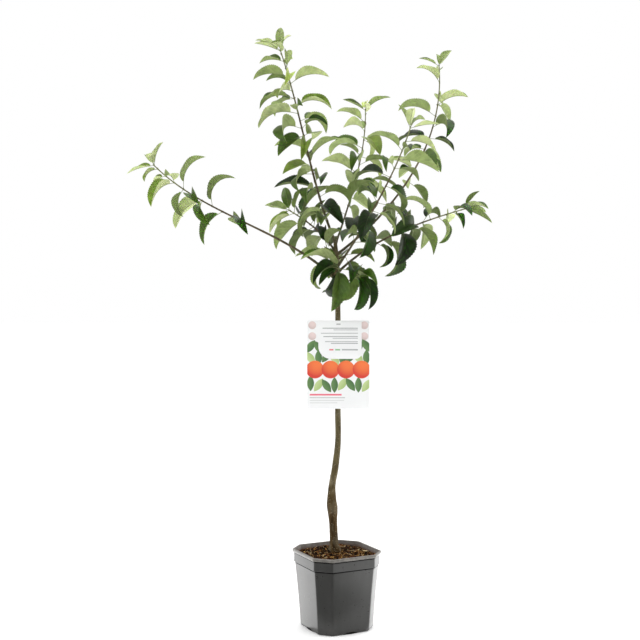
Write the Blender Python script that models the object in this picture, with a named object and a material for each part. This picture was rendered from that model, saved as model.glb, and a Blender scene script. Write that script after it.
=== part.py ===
"""A young fruit tree on a bare stem, growing in a square nursery pot with cut corners.

Metres, +Z up. The origin is the middle of the pot's flat underside. The tree is looked at along
+Y, with +X to the right. The trunk stands in the potting mix and forks into seven shoots. Each
shoot is a bare bough, then a mass of foliage: the stem that grows on from the bough's tip, with
its leaves fused to it. Short spurs near the fork carry a few large leaves of their own.
"""

import math
import random
from collections import namedtuple

import bmesh
import bpy
import numpy as np

CLEAR = 0.0003

# Pot: an open shell with a flat floor, a stepped collar and a small lip at the rim.
POT_HEIGHT = 0.184
POT_TURN = math.radians(26.5)
LIP_SIDE = 0.1836
LIP_CUT = 0.035
LIP_DEPTH = 0.0075
LIP_OVERHANG = 0.0040
COLLAR_DEPTH = 0.031
COLLAR_STEP = 0.0024
BASE_SIDE = 0.147
BASE_CUT = 0.026
BASE_ROUND = 0.005
POT_WALL = 0.0018
POT_FLOOR = 0.0025
NOTCH_WIDTH = 0.024
NOTCH_HEIGHT = 0.0045
NOTCH_REACH = 0.012

# Potting mix: fills the pot and rises to a low mound round the trunk.
SOIL_EDGE = 0.175
SOIL_TOP = 0.181
SOIL_FLAT = 0.042

# Trunk: height, sideways lean, depth lean and radius of each station, from the flat foot up.
TRUNK_FOOT = SOIL_TOP + CLEAR
TRUNK_STATIONS = (
    (SOIL_TOP - 0.004, -0.0048, 0.0000, 0.0176),
    (0.191, -0.0056, 0.0004, 0.0128),
    (0.230, -0.0074, 0.0015, 0.0098),
    (0.262, -0.0092, 0.0020, 0.0108),
    (0.284, -0.0105, 0.0018, 0.0130),
    (0.306, -0.0117, 0.0012, 0.0112),
    (0.326, -0.0118, 0.0005, 0.0091),
    (0.384, -0.0031, -0.0015, 0.0080),
    (0.434, 0.0024, -0.0020, 0.0071),
    (0.522, 0.0028, -0.0012, 0.0068),
    (0.735, 0.0030, 0.0018, 0.0065),
    (0.812, 0.0008, 0.0015, 0.0063),
    (0.833, -0.0014, 0.0012, 0.0067),
    (0.864, -0.0002, 0.0008, 0.0062),
    (0.905, -0.0026, 0.0003, 0.0052),
    (0.928, -0.0042, 0.0000, 0.0040),
)
TRUNK_RINGS = 34

# The pruned end of a limb, left as a short snag beside the left shoot.
SNAG_FOOT = 0.828
SNAG_REACH = 0.019
SNAG_RISE = 0.042
SNAG_HEADING = 192
SNAG_RADIUS = 0.0034

# Shoots. heading: compass turn of its plane, in degrees from +X. foot: height on the trunk.
# reach and rise: how far the tip lies out and up. leave and arrive: slope at foot and tip.
# sway: sideways bow as a share of its length. thick and thin: radius at foot and tip.
# bare: share without leaves. joints: leaf joints on the rest. size: longest blade.
# first: turn of the first leaf. hang: how far the leaves hang, 0 to 1. seed: its own variation.
Shoot = namedtuple(
    "Shoot",
    "name heading foot reach rise leave arrive sway thick thin bare joints size first hang seed",
)
SHOOTS = (
    Shoot("left", 190, 0.830, 0.430, 0.265, 45, 45, 0.01, 0.0036, 0.0013, 0.46, 10, 0.088, 0, 0.7, 6),
    Shoot("leader", 222, 0.920, 0.170, 0.430, 60, 65, 0.0, 0.0034, 0.0013, 0.08, 23, 0.096, 0, 0.6, 7),
    Shoot("right", 32, 0.890, 0.310, 0.485, 35, 90, -0.04, 0.0034, 0.0013, 0.16, 15, 0.085, 0, 0.5, 8),
    Shoot("right_low", 348, 0.845, 0.305, 0.150, 45, 15, 0.0, 0.0032, 0.0013, 0.24, 13, 0.092, 0, 0.9, 9),
    Shoot(
        "inner_right", 312, 0.860, 0.240, 0.305, 35, 75, -0.05, 0.003, 0.0013, 0.18, 14, 0.088, 0, 0.5, 10
    ),
    Shoot("back", 62, 0.915, 0.165, 0.345, 45, 105, 0.03, 0.0026, 0.0012, 0.20, 13, 0.088, 0, 0.6, 11),
    Shoot("left_inner", 160, 0.895, 0.120, 0.105, 60, 30, 0.0, 0.0026, 0.0013, 0.20, 12, 0.098, 0, 0.3, 12),
)

# Spurs: short side shoots with a few large hanging leaves.
Spur = namedtuple("Spur", "name heading height length joints size first hang seed")
SPURS = (
    Spur("spur_front", 290, 0.850, 0.020, 4, 0.110, 0, 1.0, 1),
    Spur("spur_low", 340, 0.815, 0.060, 4, 0.108, 60, 1.0, 2),
    Spur("spur_side", 30, 0.878, 0.030, 4, 0.100, 0, 0.9, 3),
    Spur("spur_back", 115, 0.860, 0.030, 4, 0.096, 0, 0.9, 4),
    Spur("spur_left", 205, 0.895, 0.030, 4, 0.092, 90, 0.9, 5),
)
SPUR_BARE = 0.7
SPUR_SLOPE = 25
SPUR_RADIUS = 0.0024

# Leaves: one blade and its stalk, folded along the midrib and arched over. SPIRAL is the turn in
# degrees from one leaf joint to the next. Some joints carry a twin, and each tip has a whorl. The
# rooms are the gaps kept to another mass, to a leaf of the same stem and to a limb. NEAR_ROOT is
# how many test points of a stalk lie too near its own stem to count there.
SPIRAL = 144
TWIN_CHANCE = 0.45
TIP_LEAVES = 4
TIP_SHARE = 0.998
STALK_LENGTH = 0.015
STALK_RADIUS = 0.0009
BLADE_THICK = 0.0011
BLADE_RATIO = 0.54
BLADE_ROUND = 0.62
BLADE_STATIONS = (0.14, 0.36, 0.62, 0.86)
LEAF_ROOM = 0.0064
SISTER_ROOM = 0.0024
NEAR_ROOT = 2
LIMB_ROOM = 0.0036
FAR_APART = 0.13
FIRST_LEAF = 0.02
RETRY_TURNS = (0, 42, -42, 84, -84)

# Paper label: a card in front of the trunk, a flap folded over it and a strap round the trunk.
CARD_WIDTH = 0.148
CARD_HEIGHT = 0.210
CARD_THICK = 0.0008
CARD_CENTRE_X = 0.0035
CARD_TOP = 0.7338
CARD_FRONT = -0.0130
FLAP_WIDTH = 0.103
FLAP_HEIGHT = 0.091
FLAP_CENTRE_X = 0.0075
FLAP_LEFT_ROUND = 0.030
FLAP_RIGHT_ROUND = 0.014
STRAP_WIDTH = 0.012
STRAP_THICK = 0.0006
STRAP_HEIGHT = 0.700
STRAP_RADIUS = 0.0080


def clear_scene():
    for obj in list(bpy.data.objects):
        bpy.data.objects.remove(obj, do_unlink=True)


def new_collection(name):
    collection = bpy.data.collections.new(name)
    bpy.context.scene.collection.children.link(collection)
    return collection


def make_material(name, colour, roughness):
    material = bpy.data.materials.new(name)
    material.use_nodes = True
    shader = material.node_tree.nodes["Principled BSDF"]
    shader.inputs["Base Color"].default_value = (*colour, 1.0)
    shader.inputs["Roughness"].default_value = roughness
    shader.inputs["Metallic"].default_value = 0.0
    return material


def add_object(name, mesh, collection, material=None):
    obj = bpy.data.objects.new(name, mesh)
    if material is not None:
        mesh.materials.clear()
        mesh.materials.append(material)
    collection.objects.link(obj)
    return obj


def grow_face(bm, face):
    """Extrudes one face of a body in place, and returns its new end."""
    grown = bmesh.ops.extrude_face_region(bm, geom=[face, *face.edges])["geom"]
    return next(item for item in grown if isinstance(item, bmesh.types.BMFace))


def loft(name, rings, tip=None):
    """One closed body grown through rings of equal count, ending in a face or a point."""
    bm = bmesh.new()
    face = bm.faces.new([bm.verts.new(point) for point in rings[0]])
    for ring in rings[1:]:
        face = grow_face(bm, face)
        for vert, point in zip(face.verts, ring):
            vert.co = point
    if tip is not None:
        face = grow_face(bm, face)
        bmesh.ops.pointmerge(bm, verts=face.verts[:], merge_co=tip)
    bmesh.ops.recalc_face_normals(bm, faces=bm.faces)
    mesh = bpy.data.meshes.new(name)
    bm.to_mesh(mesh)
    bm.free()
    return mesh


def cut_square(side, cut, height, inset=0.0):
    """The eight corners of a square with cut corners, turned as the pot stands."""
    half = side / 2 - inset
    flat = half - (cut - inset * (2 - math.sqrt(2)))
    corners = [(-flat, -half), (flat, -half), (half, -flat), (half, flat)]
    corners += [(-x, -y) for x, y in corners]
    turned = []
    for x, y in corners:
        turned.append((
            x * math.cos(POT_TURN) - y * math.sin(POT_TURN),
            x * math.sin(POT_TURN) + y * math.cos(POT_TURN),
            height,
        ))
    return turned


def body_outline(height):
    """Side and cut of the pot's tapered body at a height."""
    share = height / (POT_HEIGHT - COLLAR_DEPTH)
    top_side = LIP_SIDE - 2 * (LIP_OVERHANG + COLLAR_STEP)
    top_cut = LIP_CUT - (LIP_OVERHANG + COLLAR_STEP) * (2 - math.sqrt(2))
    side = BASE_SIDE + (top_side - BASE_SIDE) * share
    cut = BASE_CUT + (top_cut - BASE_CUT) * share
    return side, cut


def pot_rings():
    """Rings from the underside up the outside, over the lip and down the inside to the floor."""
    collar_foot = POT_HEIGHT - COLLAR_DEPTH
    collar_side = LIP_SIDE - 2 * LIP_OVERHANG
    collar_cut = LIP_CUT - LIP_OVERHANG * (2 - math.sqrt(2))
    foot_side, foot_cut = body_outline(BASE_ROUND)
    neck_side, neck_cut = body_outline(collar_foot)
    floor_side, floor_cut = body_outline(POT_FLOOR)
    return [
        cut_square(BASE_SIDE, BASE_CUT, 0.0, BASE_ROUND),
        cut_square(BASE_SIDE, BASE_CUT, BASE_ROUND * 0.3, BASE_ROUND * 0.25),
        cut_square(foot_side, foot_cut, BASE_ROUND),
        cut_square(neck_side, neck_cut, collar_foot - COLLAR_STEP / 2),
        cut_square(collar_side, collar_cut, collar_foot),
        cut_square(collar_side, collar_cut, POT_HEIGHT - LIP_DEPTH),
        cut_square(LIP_SIDE, LIP_CUT, POT_HEIGHT - LIP_DEPTH + LIP_OVERHANG / 3),
        cut_square(LIP_SIDE, LIP_CUT, POT_HEIGHT - LIP_OVERHANG / 3),
        cut_square(LIP_SIDE, LIP_CUT, POT_HEIGHT, LIP_OVERHANG / 3),
        cut_square(collar_side, collar_cut, POT_HEIGHT, POT_WALL),
        cut_square(collar_side, collar_cut, collar_foot - COLLAR_STEP / 2 + POT_WALL, POT_WALL),
        cut_square(neck_side, neck_cut, collar_foot - COLLAR_STEP + POT_WALL, POT_WALL),
        cut_square(floor_side, floor_cut, POT_FLOOR + BASE_ROUND / 2, POT_WALL),
        cut_square(floor_side, floor_cut, POT_FLOOR, POT_WALL + BASE_ROUND / 2),
    ]


def build_pot(parts, cutters):
    """A moulded shell, with a drain notch cut in the foot of each long side."""
    material = make_material("pot_plastic", (0.035, 0.036, 0.035), 0.38)
    pot = add_object("pot", loft("pot", pot_rings()), parts, material)
    for side in range(4):
        heading = POT_TURN + side * math.pi / 2
        reach = BASE_SIDE / 2 - NOTCH_REACH / 2 + BASE_ROUND / 2
        bpy.ops.mesh.primitive_cube_add(size=1.0)
        cutter = bpy.context.active_object
        cutter.name = f"cut_notch_{side}"
        cutter.scale = (NOTCH_REACH, NOTCH_WIDTH, 2 * NOTCH_HEIGHT)
        cutter.rotation_euler = (0, 0, heading)
        cutter.location = (reach * math.cos(heading), reach * math.sin(heading), 0)
        move_to(cutter, cutters)
        cut_away(pot, cutter)
    return pot


def build_soil(parts):
    """The block of potting mix inside the pot, clear of its walls, with a low mound on top."""
    material = make_material("potting_mix", (0.075, 0.040, 0.022), 0.95)
    inset = POT_WALL + CLEAR
    foot_side, foot_cut = body_outline(POT_FLOOR)
    edge_side, edge_cut = body_outline(SOIL_EDGE - COLLAR_DEPTH)
    rings = [
        cut_square(foot_side, foot_cut, POT_FLOOR + CLEAR, inset + BASE_ROUND / 2),
        cut_square(foot_side, foot_cut, POT_FLOOR + CLEAR + BASE_ROUND / 2, inset),
        cut_square(edge_side, edge_cut, SOIL_EDGE - COLLAR_DEPTH, inset),
        cut_square(edge_side, edge_cut, SOIL_EDGE, inset),
        cut_square(edge_side * 0.62, edge_cut * 0.8, SOIL_EDGE + (SOIL_TOP - SOIL_EDGE) * 0.6),
        cut_square(SOIL_FLAT, SOIL_FLAT * 0.28, SOIL_TOP),
    ]
    return add_object("soil", loft("soil", rings), parts, material)


def move_to(obj, collection):
    for home in list(obj.users_collection):
        home.objects.unlink(obj)
    collection.objects.link(obj)


def cut_away(obj, cutter):
    """Cuts one body by another, which stays as a hidden guide."""
    cutter.hide_render = True
    cutter.display_type = "WIRE"
    difference = obj.modifiers.new(f"cut_by_{cutter.name}", "BOOLEAN")
    difference.operation = "DIFFERENCE"
    difference.solver = "EXACT"
    difference.object = cutter


def bake(obj):
    """Replaces an object's mesh by what its modifiers make of it."""
    view = bpy.context.evaluated_depsgraph_get()
    view.update()
    mesh = bpy.data.meshes.new_from_object(obj.evaluated_get(view))
    obj.modifiers.clear()
    obj.data = mesh


def limb_mesh(name, points, radii, sides):
    """A round tapering limb along its centre line, as one closed mesh."""
    curve = bpy.data.curves.new(name, "CURVE")
    curve.dimensions = "3D"
    curve.bevel_depth = 1.0
    curve.bevel_resolution = sides // 2 - 2
    curve.use_fill_caps = True
    spline = curve.splines.new("POLY")
    spline.points.add(len(points) - 1)
    for slot, point, radius in zip(spline.points, points, radii):
        slot.co = (*point, 1.0)
        slot.radius = radius
    source = bpy.data.objects.new(name, curve)
    bpy.context.scene.collection.objects.link(source)
    view = bpy.context.evaluated_depsgraph_get()
    view.update()
    mesh = bpy.data.meshes.new_from_object(source.evaluated_get(view))
    bpy.data.objects.remove(source, do_unlink=True)
    bpy.data.curves.remove(curve)
    bm = bmesh.new()
    bm.from_mesh(mesh)
    bmesh.ops.remove_doubles(bm, verts=bm.verts, dist=0.00001)
    bmesh.ops.recalc_face_normals(bm, faces=bm.faces)
    bm.to_mesh(mesh)
    bm.free()
    mesh.name = name
    return mesh


def smooth_stations(stations, rings):
    """A smooth curve through the stations, read at evenly spaced heights."""
    table = np.array(stations)
    heights = table[:, 0]
    slopes = np.gradient(table[:, 1:], heights, axis=0)
    even = np.linspace(heights[0], heights[-1], rings)
    low = np.clip(np.searchsorted(heights, even, side="right") - 1, 0, len(heights) - 2)
    step = (heights[low + 1] - heights[low])[:, None]
    part = ((even - heights[low])[:, None]) / step
    near = table[low, 1:]
    far = table[low + 1, 1:]
    blend = near * (2 * part**3 - 3 * part**2 + 1) + far * (3 * part**2 - 2 * part**3)
    blend += step * slopes[low] * (part**3 - 2 * part**2 + part)
    blend += step * slopes[low + 1] * (part**3 - part**2)
    points = np.column_stack([blend[:, 0], blend[:, 1], even])
    return points, blend[:, 2]


def trunk_axis(height):
    """Centre of the trunk at a height."""
    table = np.array(TRUNK_STATIONS)
    x = np.interp(height, table[:, 0], table[:, 1])
    y = np.interp(height, table[:, 0], table[:, 2])
    return np.array([x, y, height])


def unit(vector):
    return vector / np.linalg.norm(vector)


def shoot_points(shoot, shares):
    """Points on a shoot's centre line, from its foot on the trunk's axis to its tip."""
    heading = math.radians(shoot.heading)
    outward = np.array([math.cos(heading), math.sin(heading), 0.0])
    sideways = np.array([-math.sin(heading), math.cos(heading), 0.0])
    upward = np.array([0.0, 0.0, 1.0])
    chord = math.hypot(shoot.reach, shoot.rise)
    leave = math.radians(shoot.leave)
    arrive = math.radians(shoot.arrive)
    s = np.asarray(shares, float)[:, None]
    near = chord * (s**3 - 2 * s**2 + s)
    end = 3 * s**2 - 2 * s**3
    far = chord * (s**3 - s**2)
    out = near * math.cos(leave) + end * shoot.reach + far * math.cos(arrive)
    up = near * math.sin(leave) + end * shoot.rise + far * math.sin(arrive)
    side = shoot.sway * chord * np.sin(math.pi * s)
    return trunk_axis(shoot.foot) + out * outward + side * sideways + up * upward


def shoot_radii(shoot, shares):
    return shoot.thick + (shoot.thin - shoot.thick) * np.asarray(shares, float) ** 0.8


def spur_points(spur, shares):
    heading = math.radians(spur.heading)
    slope = math.radians(SPUR_SLOPE)
    along = np.array([
        math.cos(heading) * math.cos(slope),
        math.sin(heading) * math.cos(slope),
        math.sin(slope),
    ])
    return trunk_axis(spur.height) + np.outer(np.asarray(shares, float) * spur.length, along)


def blade_width(share):
    """Half width of a blade along its midrib, as a share of its greatest half width."""
    share = np.asarray(share)
    widest = BLADE_ROUND / (1 + BLADE_ROUND)
    return share**BLADE_ROUND * (1 - share) / (widest**BLADE_ROUND * (1 - widest))


Leaf = namedtuple("Leaf", "root out down across stalk length half fold arch age")


def make_leaf(root, along, turn, lean, stalk, length, half, fold, arch, roll, age):
    """Sets a leaf on a stem: it leans out to the given side and arches over towards the ground."""
    level = np.cross([0.0, 0.0, 1.0], along)
    if np.linalg.norm(level) < 0.05:
        level = np.array([1.0, 0.0, 0.0])
    level = unit(level)
    above = np.cross(along, level)
    radial = math.cos(turn) * level + math.sin(turn) * above
    out = unit(math.cos(lean) * along + math.sin(lean) * radial)
    pull = np.array([0.0, 0.0, -0.8]) - 0.35 * along
    down = pull - np.dot(pull, out) * out
    down = unit(down)
    across = np.cross(out, down)
    rolled_down = math.cos(roll) * down + math.sin(roll) * across
    rolled_across = math.cos(roll) * across - math.sin(roll) * down
    return Leaf(root, out, rolled_down, rolled_across, stalk, length, half, fold, arch, age)


def leaf_points(leaf, shares, sides, lift=0.0):
    """Points of a blade: shares along its midrib, sides from -1 to 1, lifted off its face."""
    shares = np.asarray(shares, float)[:, None]
    sides = np.asarray(sides, float)[:, None]
    bend = leaf.arch * shares
    radius = leaf.length / leaf.arch
    middle = leaf.root + leaf.out * (leaf.stalk + radius * np.sin(bend))
    middle = middle + leaf.down * radius * (1 - np.cos(bend))
    face = leaf.out * np.sin(bend) - leaf.down * np.cos(bend)
    reach = leaf.half * blade_width(shares) * sides
    rise = np.abs(reach) * math.sin(leaf.fold) + lift
    return middle + leaf.across * reach * math.cos(leaf.fold) + face * rise


def leaf_samples(leaf):
    """Points spread over a leaf, its stalk's first, used to keep it clear of its neighbours."""
    stalk = [leaf.root + leaf.out * leaf.stalk * share for share in (0.25, 0.5, 0.75, 1.0)]
    shares, sides = np.meshgrid(np.linspace(0.04, 1.0, 13), np.linspace(-1, 1, 7))
    return np.concatenate([stalk, leaf_points(leaf, shares.ravel(), sides.ravel())])


def draw_leaves(place, foot, joints, size, first, hang, tips, seed):
    """Draws the leaves of one stem by a seeded rule: its tip's whorl, then from foot to tip."""
    rng = random.Random(seed)
    drawn = []
    here, ahead = place([TIP_SHARE, 1.0])
    along = unit(ahead - here)
    for tip in range(tips):
        turn = math.radians(first + tip * 360 / tips + rng.uniform(-35, 35))
        lean = math.radians(rng.uniform(26, 58))
        length = size * rng.uniform(0.50, 0.80)
        half = length * BLADE_RATIO / 2 * rng.uniform(0.75, 0.95)
        fold = math.radians(rng.uniform(30, 50))
        arch = math.radians(rng.uniform(15, 70))
        stalk = STALK_LENGTH * rng.uniform(0.45, 0.70)
        roll = math.radians(rng.uniform(-35, 35))
        drawn.append((here, along, turn, lean, stalk, length, half, fold, arch, roll, 1.0))
    for joint in range(joints):
        age = (joint + 0.5) / joints
        spot = foot + (1 - foot) * age**0.94
        here, ahead = place([spot, spot + 0.01])
        along = unit(ahead - here)
        young = max(0.0, (age - 0.72) / 0.28)
        count = 2 if rng.random() < TWIN_CHANCE else 1
        for twin in range(count):
            turn = math.radians(first + joint * SPIRAL + twin * 95 + rng.uniform(-50, 50))
            lean = math.radians(72 - 30 * young + rng.uniform(-20, 20))
            length = size * (1 - 0.3 * young) * rng.uniform(0.78, 1.1) * (1 - 0.25 * twin)
            half = length * BLADE_RATIO / 2 * rng.uniform(0.9, 1.1) * (1 - 0.2 * young)
            fold = math.radians(rng.uniform(32, 54) + 6 * young)
            arch = math.radians((50 + 66 * hang) * rng.uniform(0.5, 1.3) * (1 - 0.5 * young))
            stalk = STALK_LENGTH * rng.uniform(0.75, 1.25) * (1 - 0.4 * young)
            roll = math.radians(rng.uniform(-40, 40))
            drawn.append((here, along, turn, lean, stalk, length, half, fold, arch, roll, age))
    return drawn


def touches_limb(samples, limbs):
    """Whether a leaf comes within its room of a limb, whose points carry their radius."""
    low = samples.min(axis=0) - 0.02
    high = samples.max(axis=0) + 0.02
    near = limbs[np.all((limbs[:, :3] > low) & (limbs[:, :3] < high), axis=1)]
    gaps = np.linalg.norm(samples[:, None, :] - near[None, :, :3], axis=2)
    return bool((gaps < near[None, :, 3] + LIMB_ROOM).any())


def touches_leaf(name, samples, grown):
    """Whether a leaf comes within its room of one that is there. Sisters on a stem stand closer."""
    middle = samples.mean(axis=0)
    for owner, other in grown:
        if np.linalg.norm(other.mean(axis=0) - middle) > FAR_APART:
            continue
        start, room = (NEAR_ROOT, SISTER_ROOM) if owner == name else (0, LEAF_ROOM)
        gaps = np.linalg.norm(samples[start:, None, :] - other[None, start:, :], axis=2)
        if (gaps < room).any():
            return True
    return False


def touches_label(samples):
    """Whether a leaf comes into the room that the label hangs in."""
    beside = np.abs(samples[:, 0] - CARD_CENTRE_X) < CARD_WIDTH / 2 + LEAF_ROOM
    low = samples[:, 2] < CARD_TOP + LEAF_ROOM
    level = np.abs(samples[:, 1] - CARD_FRONT) < 2 * LEAF_ROOM
    return bool((beside & low & level).any())


def limb_samples(points, radii):
    """Points along a limb with its radius there, close enough to stand for its surface."""
    steps = np.linalg.norm(np.diff(points, axis=0), axis=1)
    run = np.concatenate([[0.0], np.cumsum(steps)])
    even = np.arange(0.0, run[-1], 0.004)
    columns = [np.interp(even, run, points[:, axis]) for axis in range(3)]
    columns.append(np.interp(even, run, radii))
    return np.column_stack(columns)


def stem_rules():
    """Each mass's stem, as a function of the share along it, with the rule for its leaves."""
    rules = []
    for spur in SPURS:
        place = lambda at, spur=spur: spur_points(spur, at)
        rules.append((
            spur.name, place, SPUR_BARE, spur.joints,
            spur.size, spur.first, spur.hang, 0, spur.seed,
        ))
    for shoot in SHOOTS:
        place = lambda at, shoot=shoot: shoot_points(shoot, at)
        rules.append((
            shoot.name, place, shoot.bare + FIRST_LEAF, shoot.joints,
            shoot.size, shoot.first, shoot.hang, TIP_LEAVES, shoot.seed,
        ))
    return rules


def all_limbs():
    """The trunk and every shoot, as points with their radius."""
    shares = np.linspace(0, 1, 80)
    trunk_points, trunk_radii = smooth_stations(TRUNK_STATIONS, 80)
    limbs = [limb_samples(trunk_points, trunk_radii)]
    for shoot in SHOOTS:
        limbs.append(limb_samples(shoot_points(shoot, shares), shoot_radii(shoot, shares)))
    return np.concatenate(limbs)


def fit_leaves(name, rule, limbs, grown):
    """The leaves of one stem, each turned aside or skipped where it has no room."""
    leaves = []
    for here, along, turn, *rest in draw_leaves(*rule):
        for extra in RETRY_TURNS:
            leaf = make_leaf(here, along, turn + math.radians(extra), *rest)
            samples = leaf_samples(leaf)
            if touches_label(samples) or touches_limb(samples[NEAR_ROOT:], limbs):
                continue
            if touches_leaf(name, samples, grown):
                continue
            leaves.append(leaf)
            grown.append((name, samples))
            break
    return leaves


def grow_crown():
    """Every leaf of every mass, in order."""
    limbs = all_limbs()
    grown = [(spur.name, spur_points(spur, np.linspace(0, 1, 16))) for spur in SPURS]
    crown = {}
    for name, *rule in stem_rules():
        crown[name] = fit_leaves(name, rule, limbs, grown)
    return crown


def leaf_mesh(name, leaf):
    """A thin folded blade on its stalk, sunk in the stem at its root."""
    rings = []
    for middle in (leaf.root - leaf.out * 0.0004, leaf.root + leaf.out * (leaf.stalk - 0.001)):
        rings.append([
            middle + leaf.across * STALK_RADIUS,
            middle - leaf.down * STALK_RADIUS,
            middle - leaf.across * STALK_RADIUS,
            middle + leaf.down * STALK_RADIUS,
        ])
    thick = max(BLADE_THICK, leaf.length / 90) / 2
    edges = (1, 0, -1, 0)
    lifts = np.array([[0], [thick], [0], [-thick]])
    for share in BLADE_STATIONS:
        rings.append(leaf_points(leaf, [share] * 4, edges, lifts))
    return loft(name, rings, leaf_points(leaf, [1.0], [0])[0])


def join_all(base, pieces):
    """Fuses the pieces of a collection to a base body, and removes the pieces."""
    union = base.modifiers.new("fuse", "BOOLEAN")
    union.operation = "UNION"
    union.operand_type = "COLLECTION"
    union.collection = pieces
    union.solver = "EXACT"
    bake(base)
    for obj in list(pieces.objects):
        bpy.data.objects.remove(obj, do_unlink=True)
    bpy.data.collections.remove(pieces)


def keep_outer_shell(obj):
    """Keeps the largest shell: a sealed hollow is filled by it, and a loose scrap is dropped."""
    bm = bmesh.new()
    bm.from_mesh(obj.data)
    left = set(bm.verts)
    shells = []
    while left:
        front = [left.pop()]
        shell = list(front)
        while front:
            for edge in front.pop().link_edges:
                near = [vert for vert in edge.verts if vert in left]
                left.difference_update(near)
                shell.extend(near)
                front.extend(near)
        shells.append(shell)
    shells.sort(key=len)
    for shell in shells[:-1]:
        bmesh.ops.delete(bm, geom=shell, context="VERTS")
    bm.to_mesh(obj.data)
    bm.free()


def build_trunk(parts):
    material = make_material("trunk_bark", (0.115, 0.088, 0.055), 0.82)
    points, radii = smooth_stations(TRUNK_STATIONS, TRUNK_RINGS)
    mesh = limb_mesh("trunk", points, radii, 12)
    bm = bmesh.new()
    bm.from_mesh(mesh)
    everything = bm.verts[:] + bm.edges[:] + bm.faces[:]
    foot = (0, 0, TRUNK_FOOT)
    cut = bmesh.ops.bisect_plane(
        bm, geom=everything, plane_co=foot, plane_no=(0, 0, 1), clear_inner=True,
    )
    rim = [item for item in cut["geom_cut"] if isinstance(item, bmesh.types.BMEdge)]
    bmesh.ops.edgeloop_fill(bm, edges=rim)
    bmesh.ops.recalc_face_normals(bm, faces=bm.faces)
    bm.to_mesh(mesh)
    bm.free()
    return add_object("trunk", mesh, parts, material)


def seat_on(obj, guides):
    """Cuts the foot of a limb clear of the limbs that it grows from."""
    for guide in guides:
        cut_away(obj, guide)
    bake(obj)


def guide_limb(name, points, radii, sides, cutters):
    """The same limb grown by the working clearance, used to cut its neighbours."""
    mesh = limb_mesh(name, points, np.asarray(radii) + CLEAR, sides)
    guide = add_object(name, mesh, cutters)
    guide.hide_render = True
    guide.display_type = "WIRE"
    return guide


def build_boughs(parts, cutters):
    """The pruned snag and the bare foot of every shoot, each cut clear of those before it."""
    bark = make_material("bough_bark", (0.135, 0.110, 0.060), 0.75)
    points, radii = smooth_stations(TRUNK_STATIONS, TRUNK_RINGS)
    lowest = int(TRUNK_RINGS * 0.72)
    guides = [guide_limb("cut_trunk", points[lowest:], radii[lowest:], 12, cutters)]
    for shoot in SHOOTS:
        shares = np.linspace(0, shoot.bare, 8)
        points = shoot_points(shoot, shares)
        radii = shoot_radii(shoot, shares)
        name = f"bough_{shoot.name}"
        bough = add_object(name, limb_mesh(name, points, radii, 8), parts, bark)
        seat_on(bough, guides)
        guides.append(guide_limb(f"cut_{shoot.name}", points, radii, 8, cutters))
    heading = math.radians(SNAG_HEADING)
    foot = trunk_axis(SNAG_FOOT)
    shares = np.linspace(0, 1, 5)
    rise = np.column_stack([
        foot[0] + shares * SNAG_REACH * math.cos(heading),
        foot[1] + shares * SNAG_REACH * math.sin(heading),
        foot[2] + shares * SNAG_RISE,
    ])
    radii = SNAG_RADIUS * (1 - 0.3 * shares)
    snag = add_object("bough_snag", limb_mesh("bough_snag", rise, radii, 8), parts, bark)
    seat_on(snag, guides)
    return guides


def build_mass(name, stem, leaves, parts, leaf_green):
    """Fuses a stem and its leaves to one body."""
    pieces = bpy.data.collections.new(f"pieces_{name}")
    bpy.context.scene.collection.children.link(pieces)
    for index, leaf in enumerate(leaves):
        mesh = leaf_mesh(f"leaf_{name}_{index}", leaf)
        add_object(f"leaf_{name}_{index}", mesh, pieces)
    mass = add_object(f"foliage_{name}", stem, parts, leaf_green)
    join_all(mass, pieces)
    keep_outer_shell(mass)
    mass.data.materials.clear()
    mass.data.materials.append(leaf_green)
    return mass


def build_foliage(parts, guides):
    """One mass for each shoot beyond its bare bough, and one for each spur."""
    leaf_green = make_material("leaf_green", (0.065, 0.150, 0.045), 0.5)
    crown = grow_crown()
    for shoot in SHOOTS:
        length = math.hypot(shoot.reach, shoot.rise)
        start = shoot.bare + CLEAR / length * 1.1
        shares = np.linspace(start, 1.0, 14)
        points = shoot_points(shoot, shares)
        stem = limb_mesh(f"stem_{shoot.name}", points, shoot_radii(shoot, shares), 6)
        build_mass(shoot.name, stem, crown[shoot.name], parts, leaf_green)
    for spur in SPURS:
        shares = np.linspace(0, 1.0, 4)
        radii = SPUR_RADIUS * (1 - 0.35 * shares)
        stem = limb_mesh(f"stem_{spur.name}", spur_points(spur, shares), radii, 6)
        mass = build_mass(spur.name, stem, crown[spur.name], parts, leaf_green)
        seat_on(mass, guides)
        keep_outer_shell(mass)


def build_label(parts):
    """The card, the flap folded down over its front, and the strap round the trunk."""
    paper = make_material("label_paper", (0.85, 0.85, 0.84), 0.45)
    back = CARD_FRONT + CARD_THICK
    left = CARD_CENTRE_X - CARD_WIDTH / 2
    right = CARD_CENTRE_X + CARD_WIDTH / 2
    foot = CARD_TOP - CARD_HEIGHT
    outline = [(left, foot), (right, foot), (right, CARD_TOP), (left, CARD_TOP)]
    rings = [[(x, y, z) for x, z in outline] for y in (CARD_FRONT, back)]
    add_object("label_card", loft("label_card", rings), parts, paper)
    front = CARD_FRONT - CLEAR
    rings = [[(x, y, z) for x, z in flap_outline()] for y in (front - CARD_THICK, front)]
    add_object("label_flap", loft("label_flap", rings), parts, paper)
    centre = trunk_axis(STRAP_HEIGHT)
    rings = []
    for x, y, across_x, across_y in strap_route(centre, back + CLEAR):
        inner = (x - across_x * STRAP_THICK / 2, y - across_y * STRAP_THICK / 2)
        outer = (x + across_x * STRAP_THICK / 2, y + across_y * STRAP_THICK / 2)
        low = STRAP_HEIGHT - STRAP_WIDTH / 2
        high = STRAP_HEIGHT + STRAP_WIDTH / 2
        rings.append([(*inner, low), (*outer, low), (*outer, high), (*inner, high)])
    add_object("label_strap", loft("label_strap", rings), parts, paper)


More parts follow.
